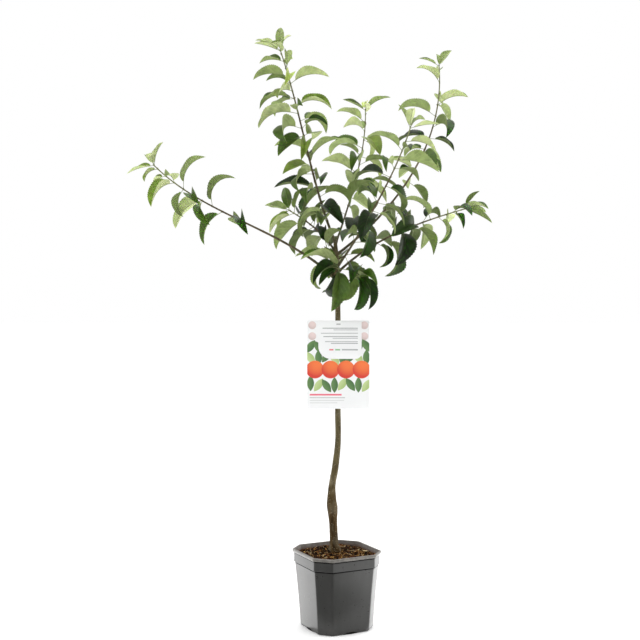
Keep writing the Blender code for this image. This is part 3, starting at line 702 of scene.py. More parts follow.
# ---------------------------------------------------------------------------------------------
# Trunk: one clear stem of living wood, budded low down on a rootstock, which left the swelling
# near its foot. Young bark, darker and scalier below the swelling, smooth and olive above.
TRUNK_SUNK = 0.004
# Height, side, depth and radius, from the foot in the mix to the fork.
TRUNK_STATIONS = (
    (SOIL_TOP - TRUNK_SUNK, -0.0048, 0.0000, 0.0176),
    (0.191, -0.0056, 0.0004, 0.0128),
    (0.230, -0.0074, 0.0015, 0.0098),
    (0.262, -0.0092, 0.0020, 0.0108),
    (0.284, -0.0105, 0.0018, 0.0130),
    (0.306, -0.0117, 0.0012, 0.0112),
    (0.326, -0.0118, 0.0005, 0.0091),
    (0.384, -0.0031, -0.0015, 0.0080),
    (0.434, 0.0024, -0.0020, 0.0071),
    (0.522, 0.0028, -0.0012, 0.0068),
    (0.735, 0.0030, 0.0018, 0.0065),
    (0.812, 0.0008, 0.0015, 0.0063),
    (0.833, -0.0014, 0.0012, 0.0067),
    (0.864, -0.0002, 0.0008, 0.0062),
    (0.905, -0.0026, 0.0003, 0.0052),
    (0.928, -0.0042, 0.0000, 0.0040),
)
GRAFT_HEIGHT = 0.292
GRAFT_REACH = 0.015
GRAFT_LUMPS = 0.0014
YOUNG_BARK_HEIGHT = 0.42
FLARE_REACH = 0.012
FLARE_DEPTH = 0.0016
OLD_BARK_SCALES = 0.00040
YOUNG_BARK_SCALES = 0.00016
BARK_WAVES = 0.00045
SPIRAL = 144
BUD_SCARS = 15
SCAR_START = 0.36
SCAR_STEP = 0.0335
SCAR_WIDTH = 0.0022
SCAR_HEIGHT = 0.00075
TRUNK_SIDES = 40
TRUNK_RINGS = 520
WELD = 0.000002
ROOTSTOCK_DARK = (0.024, 0.013, 0.004)
ROOTSTOCK_LIGHT = (0.096, 0.060, 0.022)
STEM_DARK = (0.052, 0.042, 0.020)
STEM = (0.09, 0.072, 0.040)
STEM_LIGHT = (0.150, 0.124, 0.062)
STEM_SILVER = (0.290, 0.262, 0.180)
STEM_PORE = (0.36, 0.30, 0.20)


def smooth_stations(stations, rings):
    """A smooth curve through the stations, read at evenly spaced heights."""
    table = np.array(stations)
    heights = table[:, 0]
    slopes = np.gradient(table[:, 1:], heights, axis=0)
    even = np.linspace(heights[0], heights[-1], rings)
    low = np.clip(np.searchsorted(heights, even, side="right") - 1, 0, len(heights) - 2)
    step = (heights[low + 1] - heights[low])[:, None]
    part = ((even - heights[low])[:, None]) / step
    near = table[low, 1:]
    far = table[low + 1, 1:]
    blend = near * (2 * part**3 - 3 * part**2 + 1) + far * (3 * part**2 - 2 * part**3)
    blend += step * slopes[low] * (part**3 - 2 * part**2 + part)
    blend += step * slopes[low + 1] * (part**3 - part**2)
    points = np.column_stack([blend[:, 0], blend[:, 1], even])
    return points, blend[:, 2]


def trunk_axis(height):
    """Centre of the trunk at a height."""
    table = np.array(TRUNK_STATIONS)
    x = np.interp(height, table[:, 0], table[:, 1])
    y = np.interp(height, table[:, 0], table[:, 2])
    return np.array([x, y, height])


def wrap_limb(points, radii, aside, sides, relief, span=(0.0, 1.0)):
    """A limb wrapped from a grid: round its centre line, with relief added to its radius.

    aside is a direction that the centre line never runs along. relief takes the turn round the
    limb and the share along it, as arrays, and gives heights in metres. span is the share of the
    shoot that its ends have, kept on the vertices as growth for the bark's colour.
    """
    rings = len(points)
    bm = bmesh.new()
    bmesh.ops.create_grid(
        bm, x_segments=sides, y_segments=rings - 1, size=0.5, calc_uvs=True,
    )
    bm.verts.ensure_lookup_table()
    flat = np.array([vert.co[:] for vert in bm.verts])
    turn = (flat[:, 0] + 0.5) * math.tau
    ring = np.rint((flat[:, 1] + 0.5) * (rings - 1)).astype(int)
    along = np.gradient(points, axis=0)
    along /= np.linalg.norm(along, axis=1)[:, None]
    first = np.cross(along, aside)
    first /= np.linalg.norm(first, axis=1)[:, None]
    second = np.cross(along, first)
    radius = radii[ring] + relief(turn, ring / (rings - 1))
    place = points[ring]
    place = place + first[ring] * (radius * np.cos(turn))[:, None]
    place = place + second[ring] * (radius * np.sin(turn))[:, None]
    growth = bm.verts.layers.float.new("growth")
    ages = np.linspace(span[0], span[1], rings)[ring]
    for vert, spot, age in zip(bm.verts, place, ages):
        vert.co = spot
        vert[growth] = age
    bmesh.ops.remove_doubles(bm, verts=bm.verts, dist=WELD)
    bmesh.ops.holes_fill(bm, edges=bm.edges, sides=sides + 2)
    bmesh.ops.recalc_face_normals(bm, faces=bm.faces)
    return bm


def new_group(name, inputs, outputs):
    """A node group of plain number sockets, with the node that takes its results."""
    group = bpy.data.node_groups.new(name, "ShaderNodeTree")
    for way, sockets in (("INPUT", inputs), ("OUTPUT", outputs)):
        for socket in sockets:
            group.interface.new_socket(name=socket, in_out=way, socket_type="NodeSocketFloat")
    return group, group.nodes.new("NodeGroupOutput")


def group_node(tree, group, inputs):
    node = tree.nodes.new("ShaderNodeGroup")
    node.node_tree = group
    return feed(tree, node, inputs).outputs


def bark_group():
    """Grain shared by all bark: long streaks, pale cross-wise pores and their height."""
    sizes = ("Streak Scale", "Pore Scale", "Pore Size")
    group, result = new_group("bark_grain", sizes, ("Streak", "Pore", "Height"))
    given = group.nodes.new("NodeGroupInput").outputs
    streak = noise_node(
        group, place_node(group, (1.0, 1.0, 0.16)), given["Streak Scale"], 5.0, 0.65,
    )
    cells = group.nodes.new("ShaderNodeTexVoronoi")
    across = place_node(group, (0.45, 0.45, 1.0))
    feed(group, cells, {"Vector": across, "Scale": given["Pore Scale"], "Randomness": 1.0})
    edge = total(group, given["Pore Size"], 0.10)
    pore = range_node(group, cells.outputs["Distance"], given["Pore Size"], edge, 1.0, 0.0)
    height = total(group, streak, product(group, pore, 0.35))
    feed(group, result, {"Streak": streak, "Pore": pore, "Height": height})
    return group


bark_grain = bark_group()


def grain_node(tree, streak_scale, pore_scale, pore_size):
    sizes = {"Streak Scale": streak_scale, "Pore Scale": pore_scale, "Pore Size": pore_size}
    return group_node(tree, bark_grain, sizes)


def trunk_finish():
    """Brown scaly bark on the rootstock, turning to olive-grey young bark above the graft."""
    material, tree, shader = new_finish("trunk_bark", STEM, 0.78, 0.07)
    grain = grain_node(tree, 120.0, 300.0, 0.15)
    height = axes_node(tree, place_node(tree))["Z"]
    rise = range_node(tree, height, GRAFT_HEIGHT - 0.012, YOUNG_BARK_HEIGHT)
    streak = range_node(tree, grain["Streak"], 0.36, 0.66)
    low = blend_node(tree, streak, ROOTSTOCK_DARK, ROOTSTOCK_LIGHT)
    high = blend_node(tree, streak, STEM_DARK, STEM_LIGHT)
    patch = noise_node(tree, place_node(tree, (1.0, 1.0, 0.4)), 42.0, 3.0)
    silver = product(tree, range_node(tree, patch, 0.52, 0.70), 0.35)
    base = blend_node(tree, silver, blend_node(tree, rise, low, high), STEM_SILVER)
    base = blend_node(tree, product(tree, grain["Pore"], 0.55), base, STEM_PORE)
    rough = range_node(tree, grain["Streak"], 0.3, 0.7, 0.78, 0.60)
    feed(tree, shader, {"Base Color": base, "Roughness": rough})
    bump_node(tree, grain["Height"], shader, 0.0012)
    return material


def trunk_relief(turn, share):
    """Flutes at the foot, lumps at the graft, old bud scars and a fine scaly skin."""
    heights = TRUNK_STATIONS[0][0] + share * (TRUNK_STATIONS[-1][0] - TRUNK_STATIONS[0][0])
    relief = np.empty(len(turn))
    for index, (angle, height) in enumerate(zip(turn, heights)):
        x = math.cos(angle)
        y = math.sin(angle)
        old = height < GRAFT_HEIGHT + 2 * GRAFT_REACH
        scales = OLD_BARK_SCALES if old else YOUNG_BARK_SCALES
        skin = noise.noise(Vector((x * 3.2, y * 3.2, height * 95))) * scales
        skin += noise.noise(Vector((x * 1.3, y * 1.3, height * 22))) * BARK_WAVES
        flare = math.exp(-((height - SOIL_TOP) / FLARE_REACH) ** 2)
        skin += flare * FLARE_DEPTH * math.cos(5 * angle + 0.7)
        graft = math.exp(-((height - GRAFT_HEIGHT) / GRAFT_REACH) ** 2)
        skin += graft * GRAFT_LUMPS * noise.noise(Vector((x * 1.6, y * 1.6, height * 60 + 4)))
        relief[index] = skin
    for scar in range(BUD_SCARS):
        height = SCAR_START + scar * SCAR_STEP
        angle = math.radians(scar * SPIRAL) % math.tau
        gap = np.abs((turn - angle + math.pi) % math.tau - math.pi)
        ridge = np.exp(-((heights - height) / SCAR_WIDTH) ** 2) * np.exp(-((gap / 0.75) ** 2))
        relief += ridge * SCAR_HEIGHT
    return relief


trunk_points, trunk_radii = smooth_stations(TRUNK_STATIONS, TRUNK_RINGS)
bm = wrap_limb(trunk_points, trunk_radii, (0.0, 1.0, 0.0), TRUNK_SIDES, trunk_relief)
trunk_bark = trunk_finish()
trunk = add_piece("trunk_bark_skin", bm, [trunk_bark], 50)
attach(trunk, "root")
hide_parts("trunk")

# ---------------------------------------------------------------------------------------------
# Boughs: the bare feet of seven young shoots, and a pruned snag beside the left one. Each grows
# out of the trunk with a slight collar. The bark is smooth and olive-brown, greener with height.
FIRST_LEAF = 0.02
SHOOT_SIDES = 20
# Headings, slopes and first are in degrees. reach and rise go from a shoot's foot to its tip, sway
# is a share of that chord, bare is the share without leaves, and size is a leaf's length.
Shoot = namedtuple(
    "Shoot",
    "name heading foot reach rise leave arrive sway thick thin bare joints size first hang seed",
)
SHOOTS = (
    Shoot("left", 190, 0.830, 0.430, 0.265, 45, 45, 0.01, 0.0036, 0.0013, 0.46, 10, 0.088, 0, 0.7, 6),
    Shoot("leader", 222, 0.920, 0.170, 0.430, 60, 65, 0.0, 0.0034, 0.0013, 0.08, 23, 0.096, 0, 0.6, 7),
    Shoot("right", 32, 0.890, 0.310, 0.485, 35, 90, -0.04, 0.0034, 0.0013, 0.16, 15, 0.085, 0, 0.5, 8),
    Shoot("right_low", 348, 0.845, 0.305, 0.150, 45, 15, 0.0, 0.0032, 0.0013, 0.24, 13, 0.092, 0, 0.9, 9),
    Shoot(
        "inner_right", 312, 0.860, 0.240, 0.305, 35, 75, -0.05, 0.003, 0.0013, 0.18, 14, 0.088, 0, 0.5, 10
    ),
    Shoot("back", 62, 0.915, 0.165, 0.345, 45, 105, 0.03, 0.0026, 0.0012, 0.20, 13, 0.088, 0, 0.6, 11),
    Shoot("left_inner", 160, 0.895, 0.120, 0.105, 60, 30, 0.0, 0.0026, 0.0013, 0.20, 12, 0.098, 0, 0.3, 12),
)
SNAG_FOOT = 0.828
SNAG_REACH = 0.019
SNAG_RISE = 0.042
SNAG_HEADING = 192
SNAG_RADIUS = 0.0034
SNAG_TAPER = 0.3
SNAG_RINGS = 30
SNAG_CUT = 0.90
BOUGH_RINGS = 40
RINGS_PER_METRE = 420
COLLAR_SWELL = 0.0012
COLLAR_MIDDLE = 0.004
COLLAR_REACH = 0.010
BARE_RINGS = 6
BARE_RING_HEIGHT = 0.00028
BARE_RING_WIDTH = 0.0016
JOINT_HEIGHT = 0.00042
JOINT_WIDTH = 0.0019
SHOOT_SKIN = 0.00010
BOUGH_OLD = ((0.046, 0.042, 0.022), (0.125, 0.112, 0.062))
BOUGH_BROWN = ((0.058, 0.043, 0.023), (0.135, 0.105, 0.060))
BOUGH_YOUNG = ((0.150, 0.160, 0.070), (0.300, 0.330, 0.150))
BOUGH = (0.10, 0.085, 0.045)
BOUGH_PORE = (0.42, 0.37, 0.26)
SNAG_WOOD = (0.16, 0.13, 0.09)
SNAG_DARK = (0.10, 0.075, 0.045)
SNAG_LIGHT = (0.36, 0.31, 0.23)


def shoot_points(shoot, shares):
    """Points on a shoot's centre line, from its foot on the trunk's axis to its tip."""
    heading = math.radians(shoot.heading)
    outward = np.array([math.cos(heading), math.sin(heading), 0.0])
    sideways = np.array([-math.sin(heading), math.cos(heading), 0.0])
    upward = np.array([0.0, 0.0, 1.0])
    chord = math.hypot(shoot.reach, shoot.rise)
    leave = math.radians(shoot.leave)
    arrive = math.radians(shoot.arrive)
    s = np.asarray(shares, float)[:, None]
    near = chord * (s**3 - 2 * s**2 + s)
    end = 3 * s**2 - 2 * s**3
    far = chord * (s**3 - s**2)
    out = near * math.cos(leave) + end * shoot.reach + far * math.cos(arrive)
    up = near * math.sin(leave) + end * shoot.rise + far * math.sin(arrive)
    side = shoot.sway * chord * np.sin(math.pi * s)
    return trunk_axis(shoot.foot) + out * outward + side * sideways + up * upward


def shoot_radii(shoot, shares):
    return shoot.thick + (shoot.thin - shoot.thick) * np.asarray(shares, float) ** 0.8


def joint_share(age, foot):
    """Share along a stem of the joint at an age from 0, its first, to 1, its last."""
    return foot + (1 - foot) * age**0.94


def aside_of(stem):
    """A level direction across a stem, tipped a little so that no stem runs along it."""
    heading = math.radians(stem.heading)
    return math.sin(heading), -math.cos(heading), 0.05


def shoot_relief(shoot, shares):
    """A swollen collar at the foot, small steps at the leaf joints and a fine uneven skin."""
    length = math.hypot(shoot.reach, shoot.rise)

    def relief(turn, ring_share):
        along = shares[0] + (shares[-1] - shares[0]) * ring_share
        height = COLLAR_SWELL * np.exp(-((along * length - COLLAR_MIDDLE) / COLLAR_REACH) ** 2)
        for ring in range(1, BARE_RINGS + 1):
            gap = (along - shoot.bare * ring / (BARE_RINGS + 0.6)) * length
            height = height + BARE_RING_HEIGHT * np.exp(-((gap / BARE_RING_WIDTH) ** 2))
        for joint in range(shoot.joints):
            spot = joint_share((joint + 0.5) / shoot.joints, shoot.bare + FIRST_LEAF)
            gap = (along - spot) * length
            height = height + JOINT_HEIGHT * np.exp(-((gap / JOINT_WIDTH) ** 2))
        skin = [
            noise.noise(Vector((math.cos(a) * 1.4, math.sin(a) * 1.4, share * length * 160)))
            for a, share in zip(turn, along)
        ]
        return height + SHOOT_SKIN * np.array(skin)

    return relief


def shoot_wrap(shoot, start, end, rings):
    """One stretch of a shoot wrapped in bark, with its growth kept for the colour."""
    shares = np.linspace(start, end, rings)
    return wrap_limb(
        shoot_points(shoot, shares), shoot_radii(shoot, shares), aside_of(shoot),
        SHOOT_SIDES, shoot_relief(shoot, shares), (start, end),
    )


def bough_finish():
    """Smooth young bark with pale pores: olive at the foot, then brown, then green at the tip."""
    material, tree, shader = new_finish("bough_bark", BOUGH, 0.60, 0.1)
    grain = grain_node(tree, 170.0, 420.0, 0.13)
    age = attribute_node(tree, "growth")
    streak = range_node(tree, grain["Streak"], 0.36, 0.66)
    old, brown, young = (
        blend_node(tree, streak, *shades) for shades in (BOUGH_OLD, BOUGH_BROWN, BOUGH_YOUNG)
    )
    base = blend_node(tree, range_node(tree, age, 0.10, 0.45), old, brown)
    base = blend_node(tree, range_node(tree, age, 0.66, 0.97), base, young)
    base = blend_node(tree, product(tree, grain["Pore"], 0.5), base, BOUGH_PORE)
    rough = range_node(tree, grain["Streak"], 0.3, 0.7, 0.62, 0.45)
    feed(tree, shader, {"Base Color": base, "Roughness": rough})
    bump_node(tree, grain["Height"], shader, 0.0006)
    return material


def snag_finish():
    """The grey, dry end of an old cut."""
    material, tree, shader = new_finish("snag_wood", SNAG_WOOD, 0.85, 0.25)
    grain = grain_node(tree, 260.0, 500.0, 0.05)
    streak = range_node(tree, grain["Streak"], 0.35, 0.65)
    feed(tree, shader, {"Base Color": blend_node(tree, streak, SNAG_DARK, SNAG_LIGHT)})
    bump_node(tree, grain["Height"], shader, 0.0008)
    return material


bough_bark = bough_finish()
for shoot in SHOOTS:
    rings = int(BOUGH_RINGS + RINGS_PER_METRE * shoot.bare * math.hypot(shoot.reach, shoot.rise))
    bm = shoot_wrap(shoot, 0.0, shoot.bare, rings)
    bough = add_piece(f"bough_bark_{shoot.name}", bm, [bough_bark], 60)
    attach(bough, "root")
    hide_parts(f"bough_{shoot.name}")

snag_turn = math.radians(SNAG_HEADING)
snag_along = np.linspace(0.0, 1.0, SNAG_RINGS)[:, None]
snag_way = np.array([math.cos(snag_turn) * SNAG_REACH, math.sin(snag_turn) * SNAG_REACH, SNAG_RISE])
snag_points = trunk_axis(SNAG_FOOT) + snag_along * snag_way
snag_radii = SNAG_RADIUS * (1 - SNAG_TAPER * snag_along[:, 0])


def snag_relief(turn, share):
    """A ragged end that the saw left, and the healing ring below it."""
    ring = 0.00035 * np.exp(-((share - 0.86) / 0.05) ** 2)
    flutes = 0.00020 * np.cos(7 * turn + 2) * share
    return ring + flutes


bm = wrap_limb(snag_points, snag_radii, (0.0, 1.0, 0.0), SHOOT_SIDES, snag_relief)
snag = add_piece("bough_bark_snag", bm, [bough_bark, snag_finish()], 40)
for face in snag.data.polygons:
    if face.center.z > SNAG_FOOT + SNAG_RISE * SNAG_CUT:
        face.material_index = 1
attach(snag, "root")
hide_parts("bough_snag")

# ---------------------------------------------------------------------------------------------
# Foliage: leaves set in a spiral along each shoot and in tight whorls on short spurs. Every leaf
# has a thin folded blade with a toothed edge, dark and waxy above and pale and felted below, on
# a downy stalk that runs on as the midrib.
Spur = namedtuple("Spur", "name heading height length joints size first hang seed")
SPURS = (
    Spur("spur_front", 290, 0.850, 0.020, 4, 0.110, 0, 1.0, 1),
    Spur("spur_low", 340, 0.815, 0.060, 4, 0.108, 60, 1.0, 2),
    Spur("spur_side", 30, 0.878, 0.030, 4, 0.100, 0, 0.9, 3),
    Spur("spur_back", 115, 0.860, 0.030, 4, 0.096, 0, 0.9, 4),
    Spur("spur_left", 205, 0.895, 0.030, 4, 0.092, 90, 0.9, 5),
)
SPUR_BARE = 0.7
SPUR_SLOPE = 25
SPUR_RADIUS = 0.0024
SPUR_TAPER = 0.35
SPUR_WRINKLES = 0.0003
TWIN_CHANCE = 0.45
TIP_LEAVES = 4
TIP_SHARE = 0.998
STALK_LENGTH = 0.015
BLADE_RATIO = 0.54
BLADE_ROUND = 0.62
LEAF_ROOM = 0.0064
SISTER_ROOM = 0.0024
NEAR_ROOT = 2
LIMB_ROOM = 0.0036
FAR_APART = 0.13
RETRY_TURNS = (0, 42, -42, 84, -84)
LIMB_STEPS = 80
LIMB_SPACING = 0.004
CARD_WIDTH = 0.148
CARD_CENTRE_X = 0.0035
CARD_TOP = 0.7338
CARD_FRONT = -0.0130
BLADE_STEPS = 38
TOOTH_FOOT = 0.92
TOOTH_LEAN = 0.35
BLADE_COLUMNS = 6
BLADE_THICK = 0.00035
BLADE_WELD = 0.00002
RIM_WAVE = (0.05, 0.15)
RIM_CURL = (-0.12, 0.02)
PAD_HEIGHT = 0.006
VEINS = 8
VEIN_SLANT = 0.30
RIB_SHARES = (0.04, 0.12, 0.22, 0.34, 0.47, 0.60, 0.73, 0.86, 0.95)
RIB_DEPTH = -0.0002
STALK_RADII = (0.0013, 0.0011, 0.0008, 0.00062, 0.00066)
STALK_SIDES = 6
TWIG_SIDES = 14
TWIG_RINGS = 150
SPUR_RINGS = 30
BUD_LENGTH = 0.0030
TIP_BUD_LENGTH = 0.0042
BUD_WIDTH = 0.42
BUD_DEPTH = 0.36
BUD_SEAT = 0.35
STALK = (0.22, 0.28, 0.12)
STALK_DARK = (0.13, 0.17, 0.06)
STALK_LIGHT = (0.33, 0.38, 0.19)
# Tones from dark to light: painted shade and painted light by the light each mass stands in, and lighter on
# younger leaves.
TONES = ("deep", "mature", "mid", "fresh", "tip")
TOP_COLOURS = {
    "deep": (0.009, 0.017, 0.003),
    "mature": (0.022, 0.040, 0.007),
    "mid": (0.060, 0.090, 0.016),
    "fresh": (0.165, 0.210, 0.042),
    "tip": (0.400, 0.470, 0.140),
}
UNDER_COLOURS = {
    "deep": (0.086, 0.108, 0.042),
    "mature": (0.165, 0.200, 0.080),
    "mid": (0.285, 0.335, 0.148),
    "fresh": (0.450, 0.500, 0.260),
    "tip": (0.630, 0.680, 0.390),
}
# How much painted light a mass gets, on the scale of tones, 0 to 4. The rest are spurs, in painted shade
# under the crown.
LIGHT = {
    "left": 2.2, "leader": 1.9, "right": 2.0, "right_low": 0.8,
    "inner_right": 1.0, "back": 2.2, "left_inner": 0.8,
}
SPUR_LIGHT = 0.5
AGE_LIGHT = 1.8
LIGHT_STRAY = 0.75
TONE_SEED = 17


def unit(vector):
    return vector / np.linalg.norm(vector)


def spur_points(spur, shares):
    heading = math.radians(spur.heading)
    slope = math.radians(SPUR_SLOPE)
    along = np.array([
        math.cos(heading) * math.cos(slope),
        math.sin(heading) * math.cos(slope),
        math.sin(slope),
    ])
    return trunk_axis(spur.height) + np.outer(np.asarray(shares, float) * spur.length, along)


def blade_width(share):
    """Half width of a blade along its midrib, as a share of its greatest half width."""
    share = np.asarray(share)
    widest = BLADE_ROUND / (1 + BLADE_ROUND)
    return share**BLADE_ROUND * (1 - share) / (widest**BLADE_ROUND * (1 - widest))


Leaf = namedtuple("Leaf", "root out down across stalk length half fold arch age")


def make_leaf(root, along, turn, lean, stalk, length, half, fold, arch, roll, age):
    """Sets a leaf on a stem: it leans out to the given side and arches over towards the ground."""
    level = np.cross([0.0, 0.0, 1.0], along)
    if np.linalg.norm(level) < 0.05:
        level = np.array([1.0, 0.0, 0.0])
    level = unit(level)
    above = np.cross(along, level)
    radial = math.cos(turn) * level + math.sin(turn) * above
    out = unit(math.cos(lean) * along + math.sin(lean) * radial)
    pull = np.array([0.0, 0.0, -0.8]) - 0.35 * along
    down = pull - np.dot(pull, out) * out
    down = unit(down)
    across = np.cross(out, down)
    rolled_down = math.cos(roll) * down + math.sin(roll) * across
    rolled_across = math.cos(roll) * across - math.sin(roll) * down
    return Leaf(root, out, rolled_down, rolled_across, stalk, length, half, fold, arch, age)


def leaf_points(leaf, shares, sides, lift=0.0):
    """Points of a blade: shares along its midrib, sides from -1 to 1, lifted off its face."""
    shares = np.asarray(shares, float)[:, None]
    sides = np.asarray(sides, float)[:, None]
    bend = leaf.arch * shares
    radius = leaf.length / leaf.arch
    middle = leaf.root + leaf.out * (leaf.stalk + radius * np.sin(bend))
    middle = middle + leaf.down * radius * (1 - np.cos(bend))
    face = leaf.out * np.sin(bend) - leaf.down * np.cos(bend)
    reach = leaf.half * blade_width(shares) * sides
    rise = np.abs(reach) * math.sin(leaf.fold) + lift
    return middle + leaf.across * reach * math.cos(leaf.fold) + face * rise


def leaf_samples(leaf):
    """Points spread over a leaf, its stalk's first, used to keep it clear of its neighbours."""
    stalk = [leaf.root + leaf.out * leaf.stalk * share for share in (0.25, 0.5, 0.75, 1.0)]
    shares, sides = np.meshgrid(np.linspace(0.04, 1.0, 13), np.linspace(-1, 1, 7))
    return np.concatenate([stalk, leaf_points(leaf, shares.ravel(), sides.ravel())])


def draw_leaves(place, foot, joints, size, first, hang, tips, seed):
    """Draws the leaves of one stem by a seeded rule: its tip's whorl, then from foot to tip."""
    rng = random.Random(seed)
    drawn = []
    here, ahead = place([TIP_SHARE, 1.0])
    along = unit(ahead - here)
    for tip in range(tips):
        turn = math.radians(first + tip * 360 / tips + rng.uniform(-35, 35))
        lean = math.radians(rng.uniform(26, 58))
        length = size * rng.uniform(0.50, 0.80)
        half = length * BLADE_RATIO / 2 * rng.uniform(0.75, 0.95)
        fold = math.radians(rng.uniform(30, 50))
        arch = math.radians(rng.uniform(15, 70))
        stalk = STALK_LENGTH * rng.uniform(0.45, 0.70)
        roll = math.radians(rng.uniform(-35, 35))
        drawn.append((here, along, turn, lean, stalk, length, half, fold, arch, roll, 1.0))
    for joint in range(joints):
        age = (joint + 0.5) / joints
        spot = joint_share(age, foot)
        here, ahead = place([spot, spot + 0.01])
        along = unit(ahead - here)
        young = max(0.0, (age - 0.72) / 0.28)
        count = 2 if rng.random() < TWIN_CHANCE else 1
        for twin in range(count):
            turn = math.radians(first + joint * SPIRAL + twin * 95 + rng.uniform(-50, 50))
            lean = math.radians(72 - 30 * young + rng.uniform(-20, 20))
            length = size * (1 - 0.3 * young) * rng.uniform(0.78, 1.1) * (1 - 0.25 * twin)
            half = length * BLADE_RATIO / 2 * rng.uniform(0.9, 1.1) * (1 - 0.2 * young)
            fold = math.radians(rng.uniform(32, 54) + 6 * young)
            arch = math.radians((50 + 66 * hang) * rng.uniform(0.5, 1.3) * (1 - 0.5 * young))
            stalk = STALK_LENGTH * rng.uniform(0.75, 1.25) * (1 - 0.4 * young)
            roll = math.radians(rng.uniform(-40, 40))
            drawn.append((here, along, turn, lean, stalk, length, half, fold, arch, roll, age))
    return drawn


def touches_limb(samples, limbs):
    """Whether a leaf comes within its room of a limb, whose points carry their radius."""
    low = samples.min(axis=0) - 0.02
    high = samples.max(axis=0) + 0.02
    near = limbs[np.all((limbs[:, :3] > low) & (limbs[:, :3] < high), axis=1)]
    gaps = np.linalg.norm(samples[:, None, :] - near[None, :, :3], axis=2)
    return bool((gaps < near[None, :, 3] + LIMB_ROOM).any())


def touches_leaf(name, samples, grown):
    """Whether a leaf comes within its room of one that is there. Sisters on a stem stand closer."""
    middle = samples.mean(axis=0)
    for owner, other in grown:
        if np.linalg.norm(other.mean(axis=0) - middle) > FAR_APART:
            continue
        start, room = (NEAR_ROOT, SISTER_ROOM) if owner == name else (0, LEAF_ROOM)
        gaps = np.linalg.norm(samples[start:, None, :] - other[None, start:, :], axis=2)
        if (gaps < room).any():
            return True
    return False


def touches_label(samples):
    """Whether a leaf comes into the room that the label hangs in."""
    beside = np.abs(samples[:, 0] - CARD_CENTRE_X) < CARD_WIDTH / 2 + LEAF_ROOM
    low = samples[:, 2] < CARD_TOP + LEAF_ROOM
    level = np.abs(samples[:, 1] - CARD_FRONT) < 2 * LEAF_ROOM
    return bool((beside & low & level).any())


def limb_samples(points, radii):
    """Points along a limb with its radius there, close enough to stand for its surface."""
    steps = np.linalg.norm(np.diff(points, axis=0), axis=1)
    run = np.concatenate([[0.0], np.cumsum(steps)])
    even = np.arange(0.0, run[-1], LIMB_SPACING)
    columns = [np.interp(even, run, points[:, axis]) for axis in range(3)]
    columns.append(np.interp(even, run, radii))
    return np.column_stack(columns)


def stem_rules():
    """Each mass's stem, as a function of the share along it, with the rule for its leaves."""
    rules = []
    for spur in SPURS:
        place = lambda at, spur=spur: spur_points(spur, at)
        rules.append((
            spur.name, place, SPUR_BARE, spur.joints,
            spur.size, spur.first, spur.hang, 0, spur.seed,
        ))
    for shoot in SHOOTS:
        place = lambda at, shoot=shoot: shoot_points(shoot, at)
        rules.append((
            shoot.name, place, shoot.bare + FIRST_LEAF, shoot.joints,
            shoot.size, shoot.first, shoot.hang, TIP_LEAVES, shoot.seed,
        ))
    return rules


def all_limbs():
    """The trunk and every shoot, as points with their radius."""
    shares = np.linspace(0, 1, LIMB_STEPS)
    points, radii = smooth_stations(TRUNK_STATIONS, LIMB_STEPS)
    limbs = [limb_samples(points, radii)]
    for shoot in SHOOTS:
        limbs.append(limb_samples(shoot_points(shoot, shares), shoot_radii(shoot, shares)))
    return np.concatenate(limbs)


def fit_leaves(name, rule, limbs, grown):
    """The leaves of one stem, each turned aside or skipped where it has no room."""
    leaves = []
    for here, along, turn, *rest in draw_leaves(*rule):
        for extra in RETRY_TURNS:
            leaf = make_leaf(here, along, turn + math.radians(extra), *rest)
            samples = leaf_samples(leaf)
            if touches_label(samples) or touches_limb(samples[NEAR_ROOT:], limbs):
                continue
            if touches_leaf(name, samples, grown):
                continue
            leaves.append(leaf)
            grown.append((name, samples))
            break
    return leaves


def blade_blank():
    """A flat blade to be shaped: a thin sheet with its place kept as a share and a side."""
    bm = bmesh.new()
    bm.loops.layers.uv.new("blade")
    bmesh.ops.create_grid(
        bm, x_segments=BLADE_STEPS, y_segments=BLADE_COLUMNS, size=0.5, calc_uvs=True,
    )
    flat = bm.faces[:] + bm.edges[:] + bm.verts[:]
    sheet = bmesh.ops.extrude_face_region(bm, geom=flat)["geom"]
    for item in sheet:
        if isinstance(item, bmesh.types.BMVert):
            item.co.z = 1.0
    bmesh.ops.recalc_face_normals(bm, faces=bm.faces)
    for face in bm.faces:
        face.material_index = 0 if face.calc_center_median().z > 0.5 else 1
    mesh = bpy.data.meshes.new("blade_blank")
    bm.to_mesh(mesh)
    bm.free()
    return mesh


def blade_form(leaf, flat, rng):
    """Bends a blank to its leaf: toothed edge, veins sunk between soft pads, and a wavy rim."""
    share = flat[:, 0] + 0.5
    side = flat[:, 1] * 2
    wall = flat[:, 2]
    station = np.rint(share * BLADE_STEPS)
    rim = np.abs(side) > 0.99
    tooth = rim & (station % 2 == 1)
    reach = side * np.where(tooth, 1.0, TOOTH_FOOT + (1 - TOOTH_FOOT) * ~rim)
    share = np.clip(share + np.where(tooth, TOOTH_LEAN / BLADE_STEPS, 0.0), 0.0, 1.0)
    width = blade_width(share)
    wave = leaf.half * rng.uniform(*RIM_WAVE)
    phase = rng.uniform(0, math.tau)
    count = rng.uniform(2.2, 3.8)
    lift = wave * width * side**2 * np.sin(count * math.pi * share + phase + 1.9 * np.sign(side))
    lift += rng.uniform(*RIM_CURL) * leaf.half * width * side**4
    slant = (share - VEIN_SLANT * np.abs(side)) * VEINS
    pads = np.abs(np.sin(math.pi * slant)) ** 0.8
    inside = np.clip(1 - np.abs(side), 0, 1) ** 0.5 * np.clip(np.abs(side) * 5, 0, 1)
    lift += PAD_HEIGHT * leaf.length * (pads - 0.6) * inside * np.sin(math.pi * share)
    thin = np.clip(np.minimum(share, 1 - share) * 12, 0.25, 1.0)
    lift += (wall - 0.5) * BLADE_THICK * thin
    return leaf_points(leaf, share, reach, lift[:, None])


